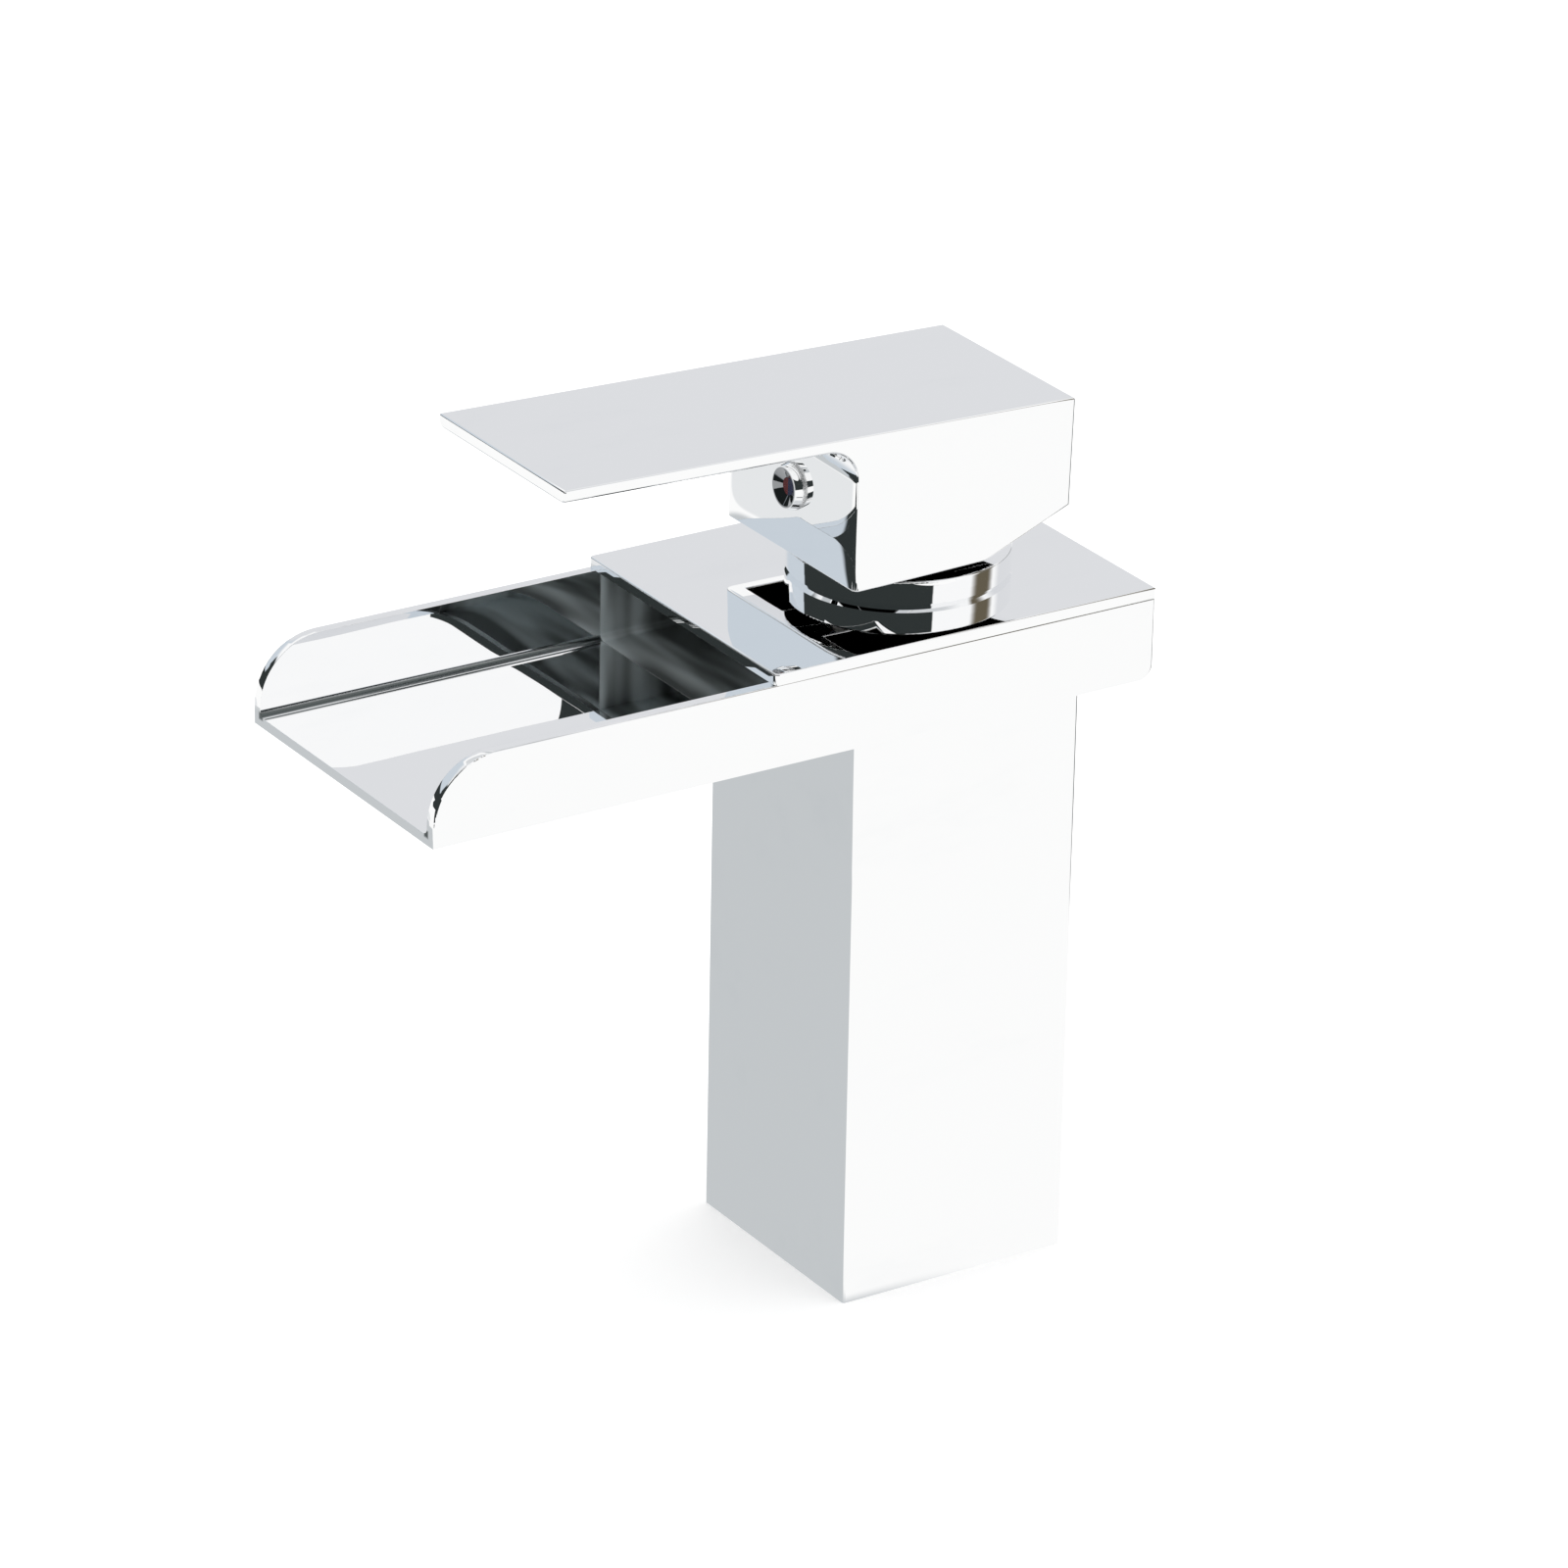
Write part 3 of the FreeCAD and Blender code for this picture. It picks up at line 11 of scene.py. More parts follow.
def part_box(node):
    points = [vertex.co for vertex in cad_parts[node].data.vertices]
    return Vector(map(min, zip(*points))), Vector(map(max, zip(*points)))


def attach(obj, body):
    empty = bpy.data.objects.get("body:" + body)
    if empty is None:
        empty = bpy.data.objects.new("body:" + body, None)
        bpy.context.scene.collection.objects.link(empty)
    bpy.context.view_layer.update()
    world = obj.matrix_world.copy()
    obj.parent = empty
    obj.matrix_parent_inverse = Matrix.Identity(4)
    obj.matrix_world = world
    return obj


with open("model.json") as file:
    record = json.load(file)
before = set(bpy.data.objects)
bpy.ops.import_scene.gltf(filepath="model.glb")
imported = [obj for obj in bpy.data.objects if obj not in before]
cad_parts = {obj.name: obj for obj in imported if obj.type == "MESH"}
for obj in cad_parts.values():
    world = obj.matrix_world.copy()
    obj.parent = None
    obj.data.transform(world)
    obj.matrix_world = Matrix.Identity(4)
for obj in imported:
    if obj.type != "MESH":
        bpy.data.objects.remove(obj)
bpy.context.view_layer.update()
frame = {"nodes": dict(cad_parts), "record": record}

bl_info = {
    "name": "Waterfall basin faucet",
    "version": (1, 0, 0),
    "blender": (4, 5, 0),
    "location": "3D View > Sidebar > Faucet",
    "description": "Builds the finishes, the threads and the stage of a waterfall basin faucet",
    "category": "Object",
}

NODES = frame["nodes"]
SLOTS = {row["node"]: row["material_slot"] for row in frame["record"]["subparts"]}
MM = 0.001

# Sizes of the faucet that its frame does not name: the spout's wall and floor, the cores of the
# holes in the base plate, how far back the stud's hole is, and the valve's threaded neck.
SPOUT_WALL = 2.4 * MM
SPOUT_FLOOR = 2.0 * MM
INLET_CORE = 9.0 * MM
STUD_CORE = 6.8 * MM
STUD_BACK = 9.5 * MM
NECK_DIAMETER = 40.0 * MM

# Threads: corners of their section as shares of the pitch, how far the root goes into the wall,
# and how far a thread stays off the ends of its hole or off the pieces beside the neck.
THREAD_SECTION = (0.05, 0.44, 0.56, 0.95)
THREAD_ROOT = 0.03 * MM
LEAD_IN = 0.4 * MM
NECK_GAP = 0.2 * MM

# Spout's covered rear: left unpolished, with painted dark reflections in bands across it. Its mask
# reaches a little into the walls.
CHAMBER_MARGIN = 0.5 * MM
CHAMBER_START = 1.0 * MM
CHAMBER_ROOF = 0.6 * MM
CHAMBER_SOFTNESS = 0.4 * MM
# Spacing of the painted dark reflection bands.
BAND_SPACING = 11 * MM
CHAMBER_METALLIC = 0.3

# Spout's two lower inner corners, as far as they stay matt and carry painted shade.
SEAM_INWARDS = 1.2 * MM
SEAM_OUTWARDS = 0.8 * MM
SEAM_START = -10 * MM
SEAM_END = 200 * MM
SEAM_SOFTNESS = 0.6 * MM

# Index button, measured inwards from its side.
DISH_RIM = (0.9 * MM, 0.6 * MM)
BARREL_RIM = (0.2 * MM, 0.05 * MM)

# Outer pieces whose sharp edges are broken, and how.
BROKEN_EDGES = ("column_body", "spout_trough", "spout_cover", "lever_handle")
BREAK_STEPS = 3
BREAK_ANGLE = math.radians(60)

# How close two corners are that count as one, on a CAD node and on a new thread, and how close
# to a level a corner counts as on it.
JOINED = 0.001 * MM
SAME_PLACE = 1e-7
ON_LEVEL = 1e-6

# Painted shade on the floor that the chrome mirrors, in metres and degrees: the column's front sees
# the painted shadow, the hub's face the paler painted patch in front, and the rear edges the
# painted dark strip.
SHADE_CENTRE = (-0.1183, -0.1484, 0)
SHADE_RADIUS = 0.20
SHADE_SOFTNESS = 0.06
SHADE_SIDE = (-1 * MM, 3 * MM)
FRONT_CENTRE = (-0.368, -0.267, 0)
FRONT_RADIUS = 0.064
FRONT_SOFTNESS = 0.1
PAINTED_STRIP_FACING = 175
PAINTED_STRIP_HALF_WIDTH = 33
PAINTED_STRIP_SOFTNESS = 0.03
PAINTED_STRIP_START = (0.20, 0.26)
EVERY_HEIGHT = (-1.0, 1.0, 0.5)  # low, high and slope of a panel without ends

# Soft lamp over the faucet, in metres.
LAMP_HEIGHT = 2.2
LAMP_DIAMETER = 2.4

# Camera: width of its sensor in millimetres, and how far it sees in metres.
SENSOR_WIDTH = 36
CLIP_END = 50


# ---- Settings ----------------------------------------------------------------------------


class ChromeSettings(bpy.types.PropertyGroup):
    """The polished chrome of the pieces that show."""

    bright: FloatVectorProperty(name="Bright chrome", description="Colour of the clean plating",
                                size=3, default=(0.965, 0.968, 0.972), subtype="COLOR", min=0,
                                max=1)
    hazy: FloatVectorProperty(name="Hazy chrome", description="Colour where the plating is wiped",
                              size=3, default=(0.945, 0.95, 0.957), subtype="COLOR", min=0, max=1)
    clean_roughness: FloatProperty(name="Clean roughness", description="Blur of clean plating",
                                   default=0.012, min=0, max=1, subtype="FACTOR")
    wiped_roughness: FloatProperty(name="Wiped roughness", description="Blur of wiped plating",
                                   default=0.028, min=0, max=1, subtype="FACTOR")
    inside: FloatVectorProperty(name="Unpolished inside",
                                description="Plated but unpolished metal inside the spout's rear",
                                size=3, default=(0.85, 0.93, 0.95), subtype="COLOR", min=0, max=1)
    # Painted shade in the spout's inner corners and painted dark reflections in bands over its
    # covered rear.
    painted_shade_and_reflection: FloatVectorProperty(name="Bands inside",
                                    description="Darker bands on the unpolished metal",
                                    size=3, default=(0.12, 0.135, 0.135), subtype="COLOR", min=0,
                                    max=1)
    inside_roughness: FloatProperty(name="Inside roughness", description="Blur of that metal",
                                    default=0.30, min=0, max=1, subtype="FACTOR")
    seam_roughness: FloatProperty(name="Seam roughness",
                                  description="Blur of the spout's inner corners",
                                  default=0.22, min=0, max=1, subtype="FACTOR")
    # The dish colour is painted shade and dark reflections in the button's hollow.
    dish: FloatVectorProperty(name="Button's dish", description="Darker metal in the hollow button",
                              size=3, default=(0.30, 0.31, 0.32), subtype="COLOR", min=0, max=1)
    barrel_roughness: FloatProperty(name="Barrel roughness",
                                    description="Blur of the button's side",
                                    default=0.55, min=0, max=1, subtype="FACTOR")
    edge_width: FloatProperty(name="Buffed edge width",
                              description="How far in from an edge the buffing wheel rounds a face",
                              default=5 * MM, unit="LENGTH", min=0.1 * MM)
    edge_depth: FloatProperty(name="Buffed edge depth",
                              description="How much the buffing wheel takes off at an edge",
                              default=0.05 * MM, unit="LENGTH", min=0)
    lever_edge_width: FloatProperty(name="Lever's edge width",
                                    description="How far in the lever's faces are rounded",
                                    default=8 * MM, unit="LENGTH", min=0.1 * MM)
    lever_edge_depth: FloatProperty(name="Lever's edge depth",
                                    description="How much is buffed off the lever's edges",
                                    default=0.25 * MM, unit="LENGTH", min=0)
    edge_break: FloatProperty(name="Edge break",
                              description="Radius of the sharp edges of the outer pieces",
                              default=0.4 * MM, unit="LENGTH", min=0)
    wave_length: FloatProperty(name="Wave length", description="Size of the waves of a buffed face",
                               default=14 * MM, unit="LENGTH", min=0.1 * MM)
    wave_height: FloatProperty(name="Wave height", description="Height of those waves",
                               default=0.012 * MM, unit="LENGTH", min=0)


class FittingSettings(bpy.types.PropertyGroup):
    """Colours of the pieces inside and underneath, and of the button's mark."""

    brass: FloatVectorProperty(name="Brass", description="Machined brass", size=3,
                               default=(0.70, 0.50, 0.22), subtype="COLOR", min=0, max=1)
    nickel: FloatVectorProperty(name="Nickel plate", description="Satin nickel plate on brass",
                                size=3, default=(0.50, 0.50, 0.47), subtype="COLOR", min=0, max=1)
    copper: FloatVectorProperty(name="Copper", description="Drawn copper tube", size=3,
                                default=(0.72, 0.34, 0.20), subtype="COLOR", min=0, max=1)
    steel: FloatVectorProperty(name="Steel", description="Stainless pin, stem and screw", size=3,
                               default=(0.52, 0.52, 0.53), subtype="COLOR", min=0, max=1)
    rubber: FloatVectorProperty(name="Rubber", description="Seals and gasket", size=3,
                                default=(0.022, 0.022, 0.024), subtype="COLOR", min=0, max=1)
    grey_plastic: FloatVectorProperty(name="Grey plastic", description="Housing of the cartridge",
                                      size=3, default=(0.20, 0.21, 0.22), subtype="COLOR",
                                      min=0, max=1)
    white_plastic: FloatVectorProperty(name="White plastic", description="Guide and carrier",
                                       size=3, default=(0.72, 0.72, 0.69), subtype="COLOR",
                                       min=0, max=1)
    ceramic: FloatVectorProperty(name="Ceramic", description="Mixing discs", size=3,
                                 default=(0.80, 0.77, 0.72), subtype="COLOR", min=0, max=1)
    red: FloatVectorProperty(name="Red mark", description="Hot side of the button's mark", size=3,
                             default=(0.11, 0.005, 0.007), subtype="COLOR", min=0, max=1)
    blue: FloatVectorProperty(name="Blue mark", description="Cold side of the button's mark",
                              size=3, default=(0.006, 0.012, 0.06), subtype="COLOR", min=0, max=1)


class ThreadSettings(bpy.types.PropertyGroup):
    """Screw threads in the base plate and on the valve's neck."""

    inlet_pitch: FloatProperty(name="Inlet pitch", description="Pitch of the two inlet threads",
                               default=1.0 * MM, unit="LENGTH", min=0.2 * MM)
    stud_pitch: FloatProperty(name="Stud pitch", description="Pitch of the stud's thread",
                              default=1.25 * MM, unit="LENGTH", min=0.2 * MM)
    neck_pitch: FloatProperty(name="Neck pitch", description="Pitch of the neck's thread",
                              default=1.0 * MM, unit="LENGTH", min=0.2 * MM)
    height: FloatProperty(name="Height", description="Height of a thread over its wall",
                          default=0.28 * MM, unit="LENGTH", min=0.02 * MM)
    steps: IntProperty(name="Steps", description="Faces in one turn of a thread", default=60,
                       min=12)


class CameraSettings(bpy.types.PropertyGroup):
    """Where the camera stands and how it looks."""

    azimuth: FloatProperty(name="Azimuth", description="Turn of the camera round the faucet",
                           default=math.radians(57.241), subtype="ANGLE")
    elevation: FloatProperty(name="Elevation", description="Height angle of the camera",
                             default=math.radians(23.905), subtype="ANGLE")
    roll: FloatProperty(name="Roll", description="Turn of the camera about its own view line",
                        default=math.radians(1.101), subtype="ANGLE")
    distance: FloatProperty(name="Distance", description="Camera to the foot of the column",
                            default=1.557822, unit="LENGTH")
    aside: FloatProperty(name="Shift aside",
                         description="Foot of the column, right of the view line",
                         default=0.019014, unit="LENGTH")
    below: FloatProperty(name="Shift below", description="Foot of the column, under the view line",
                         default=0.085541, unit="LENGTH")
    lens: FloatProperty(name="Focal length", description="Focal length on a 36 mm sensor",
                        default=183.2085, unit="CAMERA")


class StageSettings(bpy.types.PropertyGroup):
    """The floor, the light and the studio that the chrome mirrors."""

    floor: FloatVectorProperty(name="Floor", description="Colour of the floor", size=3,
                               default=(0.88, 0.88, 0.88), subtype="COLOR", min=0, max=1)
    floor_size: FloatProperty(name="Floor size", description="Side of the floor", default=12.0,
                              unit="LENGTH")
    floor_lift: FloatProperty(name="Floor lift",
                              description="Whitening of the floor, for the camera alone",
                              default=0.30, min=0)
    daylight: FloatProperty(name="Daylight", description="Strength of the white studio round it",
                            default=0.9, min=0)
    lamp_power: FloatProperty(name="Lamp", description="Power of the large soft lamp above",
                              default=14.0, unit="POWER", min=0)
    sheet: FloatVectorProperty(name="White sheet", description="Floor as the chrome mirrors it",
                               size=3, default=(1.0, 1.0, 0.995), subtype="COLOR", min=0, max=2)
    # Painted shadow of the spout on the floor as the chrome mirrors it.
    shade: FloatVectorProperty(name="Shaded sheet",
                               description="Floor close in front, as the chrome mirrors it",
                               size=3, default=(0.56, 0.585, 0.60), subtype="COLOR", min=0, max=2)
    # Painted shade on the floor farther in front, as the chrome mirrors it.
    front: FloatVectorProperty(name="Sheet in front",
                               description="Floor farther in front, mirrored by the hub's face",
                               size=3, default=(0.80, 0.815, 0.825), subtype="COLOR", min=0, max=2)
    ceiling: FloatVectorProperty(name="Studio behind", description="Mirrored in the top faces",
                                 size=3, default=(0.735, 0.745, 0.768), subtype="COLOR",
                                 min=0, max=2)
    window: FloatVectorProperty(name="Studio at the left", description="Mirrored in the spout",
                                size=3, default=(0.60, 0.66, 0.72), subtype="COLOR",
                                min=0, max=2)
    overhead: FloatVectorProperty(name="Studio overhead", description="Mirrored from above",
                                  size=3, default=(0.68, 0.695, 0.71), subtype="COLOR",
                                  min=0, max=2)
    dark: FloatVectorProperty(name="Dark side", description="Unlit side of the studio", size=3,
                              default=(0.030, 0.036, 0.036), subtype="COLOR", min=0, max=2)
    # Painted dark strip on the floor as the chrome mirrors it.
    painted_dark_strip: FloatVectorProperty(name="Dim floor", description="Floor mirrored in the rear edges",
                               size=3, default=(0.16, 0.17, 0.17), subtype="COLOR", min=0, max=2)
    brown: FloatVectorProperty(name="Brown strip", description="Dim strip at the back", size=3,
                               default=(0.13, 0.11, 0.075), subtype="COLOR", min=0, max=2)


# ---- Node trees --------------------------------------------------------------------------


def connect(tree, value, socket):
    """Sets a socket to a plain value, or links another socket to it."""
    if isinstance(value, bpy.types.NodeSocket):
        tree.links.new(value, socket)
    else:
        socket.default_value = value


def node(tree, kind, *values, **settings):
    """A new node with its settings, its first inputs given in order."""
    made = tree.nodes.new(kind)
    for name, value in settings.items():
        setattr(made, name, value)
    for index, value in enumerate(values):
        connect(tree, value, made.inputs[index])
    return made


def maths(tree, operation, *values):
    """A number worked out from numbers."""
    return node(tree, "ShaderNodeMath", *values, operation=operation).outputs[0]


def vectors(tree, operation, *values):
    """A vector, a length or a dot product worked out from vectors."""
    made = node(tree, "ShaderNodeVectorMath", *values, operation=operation)
    return made.outputs["Value" if operation in ("DOT_PRODUCT", "LENGTH") else "Vector"]


def part_of(tree, vector, axis):
    """One of the three numbers of a vector."""
    return node(tree, "ShaderNodeSeparateXYZ", vector).outputs[axis]


def ease(tree, value, start, end, low=0.0, high=1.0):
    """A number that goes smoothly from low to high as a value goes from start to end."""
    made = node(tree, "ShaderNodeMapRange", value, start, end, low, high,
                interpolation_type="SMOOTHSTEP")
    return made.outputs["Result"]


def fade(tree, mask, under, over):
    """One number that turns into another where a mask is 1."""
    return node(tree, "ShaderNodeMapRange", mask, 0.0, 1.0, under, over).outputs["Result"]


def blend_colours(tree, mask, under, over):
    """One colour over another, where a mask is 1."""
    made = node(tree, "ShaderNodeMix", data_type="RGBA")
    connect(tree, mask, made.inputs["Factor"])
    for value, name in ((under, "A"), (over, "B")):
        full = value if isinstance(value, bpy.types.NodeSocket) else (*value, 1)
        connect(tree, full, next(s for s in made.inputs if s.name == name and s.type == "RGBA"))
    return next(s for s in made.outputs if s.type == "RGBA")


def noise(tree, position, scale, detail=2.0, roughness=0.5):
    """A smooth noise in space, from 0 to 1."""
    made = node(tree, "ShaderNodeTexNoise", noise_dimensions="3D")
    connect(tree, position, made.inputs["Vector"])
    connect(tree, scale, made.inputs["Scale"])
    connect(tree, detail, made.inputs["Detail"])
    connect(tree, roughness, made.inputs["Roughness"])
    return made.outputs[0]


# ---- Node groups -------------------------------------------------------------------------


KINDS = {"number": "NodeSocketFloat", "vector": "NodeSocketVector"}


def new_group(name, inputs, outputs):
    """An empty node group with named sockets, its given values and its results."""
    tree = bpy.data.node_groups.new(name, "ShaderNodeTree")
    for label, kind in inputs:
        tree.interface.new_socket(name=label, in_out="INPUT", socket_type=KINDS[kind])
    for label in outputs:
        tree.interface.new_socket(name=label, in_out="OUTPUT", socket_type="NodeSocketFloat")
    return tree, tree.nodes.new("NodeGroupInput").outputs, tree.nodes.new("NodeGroupOutput").inputs


def depth_share(tree, given, width):
    """How deep a place lies inside a box on each axis, as a share of a width."""
    offset = vectors(tree, "ABSOLUTE",
                     vectors(tree, "SUBTRACT", given["Position"], given["Centre"]))
    inside = vectors(tree, "SUBTRACT", given["Half Size"], offset)
    widths = node(tree, "ShaderNodeCombineXYZ", width, width, width).outputs[0]
    return vectors(tree, "DIVIDE", inside, widths)


def buffed_edges_group():
    """Height of a face that a buffing wheel has rounded near its edges."""
    tree, given, result = new_group(
        "buffed_edges", [("Position", "vector"), ("Centre", "vector"), ("Half Size", "vector"),
                         ("Width", "number"), ("Depth", "number")], ["Height"])
    near = vectors(tree, "SUBTRACT", (1, 1, 1), depth_share(tree, given, given["Width"]))
    near = vectors(tree, "MINIMUM", vectors(tree, "MAXIMUM", near, (0, 0, 0)), (1, 1, 1))
    cubed = vectors(tree, "MULTIPLY", near, vectors(tree, "MULTIPLY", near, near))
    total = vectors(tree, "DOT_PRODUCT", cubed, (1, 1, 1))
    lowered = maths(tree, "MULTIPLY", given["Depth"], -1.0)
    tree.links.new(maths(tree, "MULTIPLY", total, lowered), result["Height"])
    return tree


def inner_box_group():
    """Where a place lies inside a box, soft at its faces."""
    tree, given, result = new_group(
        "inner_box", [("Position", "vector"), ("Centre", "vector"), ("Half Size", "vector"),
                      ("Softness", "number")], ["Mask"])
    share = node(tree, "ShaderNodeSeparateXYZ",
                 depth_share(tree, given, given["Softness"])).outputs
    least = maths(tree, "MINIMUM", share["X"], maths(tree, "MINIMUM", share["Y"], share["Z"]))
    tree.links.new(ease(tree, least, 0.0, 1.0), result["Mask"])
    return tree


def painted_reflection_bands_group():
    """Bands across the spout for painted dark reflections: 1 where pale."""
    tree, given, result = new_group("painted_reflection_bands", [("Position", "vector"),
                                                    ("Spacing", "number")], ["Bands"])
    run = (0.15, 1.0, 0.12)
    dark_below, pale_above = 0.40, 0.60
    drawn_out = vectors(tree, "MULTIPLY", given["Position"], run)
    bands = noise(tree, drawn_out, maths(tree, "DIVIDE", 1.0, given["Spacing"]))
    tree.links.new(ease(tree, bands, dark_below, pale_above), result["Bands"])
    return tree


def hand_polish_group():
    """Slow waves of a polished face, and the faint marks where a cloth has wiped it."""
    tree, given, result = new_group(
        "hand_polish", [("Position", "vector"), ("Wave Length", "number"),
                        ("Wave Height", "number")], ["Height", "Wiped"])
    run = (1.0, 0.35, 1.0)
    cloth_scale = 0.8
    clean_below, wiped_above = 0.52, 0.78
    scale = maths(tree, "DIVIDE", 1.0, given["Wave Length"])
    waves = noise(tree, given["Position"], scale, detail=0.0)
    full_height = maths(tree, "MULTIPLY", given["Wave Height"], 2.0)
    tree.links.new(maths(tree, "MULTIPLY", waves, full_height), result["Height"])
    drawn_out = vectors(tree, "MULTIPLY", given["Position"], run)
    cloth = noise(tree, drawn_out, maths(tree, "MULTIPLY", scale, cloth_scale), detail=4.0,
                  roughness=0.62)
    tree.links.new(ease(tree, cloth, clean_below, wiped_above), result["Wiped"])
    return tree


def mottling_group():
    """Slow change of tone and fine specks, for metals, rubber, plastic and ceramic."""
    tree, given, result = new_group(
        "mottling", [("Position", "vector"), ("Patch Size", "number"), ("Grain Size", "number")],
        ["Patches", "Grain", "Height"])
    deep_below, pale_above = 0.3, 0.72
    height_of_grain = 0.06
    patches = noise(tree, given["Position"], maths(tree, "DIVIDE", 1.0, given["Patch Size"]),
                    detail=3.0, roughness=0.6)
    tree.links.new(ease(tree, patches, deep_below, pale_above), result["Patches"])
    grain = noise(tree, given["Position"], maths(tree, "DIVIDE", 1.0, given["Grain Size"]))
    tree.links.new(grain, result["Grain"])
    full_height = maths(tree, "MULTIPLY", given["Grain Size"], height_of_grain)
    tree.links.new(maths(tree, "MULTIPLY", grain, full_height), result["Height"])
    return tree


def turning_marks_group():
    """Fine rings that a lathe tool leaves round an upright axis."""
    tree, given, result = new_group(
        "turning_marks", [("Position", "vector"), ("Spacing", "number"), ("Depth", "number")],
        ["Marks", "Height"])
    unevenness = 0.8
    unevenness_scale = 300.0
    radius = vectors(tree, "LENGTH", vectors(tree, "MULTIPLY", given["Position"], (1, 1, 0)))
    path = maths(tree, "ADD", radius, part_of(tree, given["Position"], "Z"))
    uneven = noise(tree, given["Position"], unevenness_scale, detail=1.0)
    turns = maths(tree, "ADD", maths(tree, "DIVIDE", path, given["Spacing"]),
                  maths(tree, "MULTIPLY", uneven, unevenness))
    wave = maths(tree, "SINE", maths(tree, "MULTIPLY", turns, math.tau))
    tree.links.new(maths(tree, "MULTIPLY_ADD", wave, 0.5, 0.5), result["Marks"])
    tree.links.new(maths(tree, "MULTIPLY", wave, given["Depth"]), result["Height"])
    return tree


def studio_panel_group():
    """Where a direction meets an upright panel of the studio, soft at its rim."""
    tree, given, result = new_group(
        "studio_panel", [("Direction", "vector"), ("Facing", "vector"), ("Rim", "number"),
                         ("Softness", "number"), ("Low", "number"), ("High", "number"),
                         ("Slope", "number")], ["Mask"])

    def about(value, label, softness, *levels):
        """Eases over a softness to both sides of a given level."""
        return ease(tree, value, maths(tree, "SUBTRACT", given[label], given[softness]),
                    maths(tree, "ADD", given[label], given[softness]), *levels)

    level = vectors(tree, "NORMALIZE", vectors(tree, "MULTIPLY", given["Direction"], (1, 1, 0)))
    aside = about(vectors(tree, "DOT_PRODUCT", level, given["Facing"]), "Rim", "Softness")
    height = part_of(tree, given["Direction"], "Z")
    between = maths(tree, "MULTIPLY", about(height, "Low", "Slope"),
                    about(height, "High", "Slope", 1.0, 0.0))
    tree.links.new(maths(tree, "MULTIPLY", aside, between), result["Mask"])
    return tree


GROUP_MAKERS = {
    "buffed_edges": buffed_edges_group,
    "painted_reflection_bands": painted_reflection_bands_group,
    "hand_polish": hand_polish_group,
    "inner_box": inner_box_group,
    "mottling": mottling_group,
    "studio_panel": studio_panel_group,
    "turning_marks": turning_marks_group,
}


def socket_label(word):
    """A socket's label from a keyword, such as Half Size from half_size."""
    return word.replace("_", " ").title().replace("Ior", "IOR")


def use_group(tree, name, **values):
    """Places a shared group, with its values by name, and returns its outputs."""
    group = bpy.data.node_groups.get(name) or GROUP_MAKERS[name]()
    made = node(tree, "ShaderNodeGroup", node_tree=group)
    for word, value in values.items():
        connect(tree, value, made.inputs[socket_label(word)])
    return made.outputs


# ---- Materials ---------------------------------------------------------------------------


def new_material(name, metallic=0.0, **plain):
    """A material with one shader, its tree and the place on the object that it is read at."""
    material = bpy.data.materials.new(name)
    material.use_nodes = True
    tree = material.node_tree
    tree.nodes.clear()
    output = tree.nodes.new("ShaderNodeOutputMaterial")
    shader = tree.nodes.new("ShaderNodeBsdfPrincipled")
    shader.inputs["Metallic"].default_value = metallic
    for word, value in plain.items():
        shader.inputs[socket_label(word)].default_value = value
    tree.links.new(shader.outputs["BSDF"], output.inputs["Surface"])
    position = tree.nodes.new("ShaderNodeTexCoord").outputs["Object"]
    return material, tree, shader, position


def raise_surface(tree, shader, height):
    """Tilts a shader's normals as a height in metres asks."""
    bump = node(tree, "ShaderNodeBump")
    bump.inputs["Strength"].default_value = 1.0
    bump.inputs["Distance"].default_value = 1.0
    tree.links.new(height, bump.inputs["Height"])
    tree.links.new(bump.outputs["Normal"], shader.inputs["Normal"])


def inside_box(tree, position, low, high, softness):
    """Mask of the places between two corners."""
    return use_group(tree, "inner_box", position=position, centre=(low + high) / 2,
                     half_size=(high - low) / 2, softness=softness)["Mask"]


def seams_matt_with_painted_shade(tree, position, surface, settings):
    """Dulls the spout's two lower inner corners, which a polishing wheel does not reach, and paints
    shade into them.
    """
    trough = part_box("spout_trough")
    corner = Vector((trough[1].x - SPOUT_WALL, 0, trough[0].z + SPOUT_FLOOR))
    either_side = vectors(tree, "ABSOLUTE", position)
    mask = inside_box(tree, either_side,
                      corner + Vector((-SEAM_INWARDS, SEAM_START, -SEAM_OUTWARDS)),
                      corner + Vector((SEAM_OUTWARDS, SEAM_END, SEAM_INWARDS)), SEAM_SOFTNESS)
    # Painted shade: the corners' colour is darkened here.
    surface["Base Color"] = blend_colours(tree, mask, surface["Base Color"], settings.painted_shade_and_reflection)
    surface["Roughness"] = fade(tree, mask, surface["Roughness"], settings.seam_roughness)


def chamber_matt_with_painted_bands(tree, position, surface, settings):
    """Leaves the spout's covered rear unpolished and partly matt, and paints dark reflections in
    bands across it.
    """
    cover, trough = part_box("spout_cover"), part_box("spout_trough")
    wall, floor = SPOUT_WALL - CHAMBER_MARGIN, SPOUT_FLOOR - CHAMBER_MARGIN
    low = Vector((trough[0].x + wall, cover[0].y + CHAMBER_START, trough[0].z + floor))
    high = Vector((trough[1].x - wall, trough[1].y - wall, cover[0].z + CHAMBER_ROOF))
    mask = inside_box(tree, position, low, high, CHAMBER_SOFTNESS)
    bands = use_group(tree, "painted_reflection_bands", position=position, spacing=BAND_SPACING)["Bands"]
    # The dark bands are painted reflections over the unpolished metal's colour.
    unpolished_with_painted_bands = blend_colours(tree, bands, settings.painted_shade_and_reflection, settings.inside)
    surface["Base Color"] = blend_colours(tree, mask, surface["Base Color"], unpolished_with_painted_bands)
    surface["Roughness"] = fade(tree, mask, surface["Roughness"], settings.inside_roughness)
    surface["Metallic"] = fade(tree, mask, surface["Metallic"], CHAMBER_METALLIC)


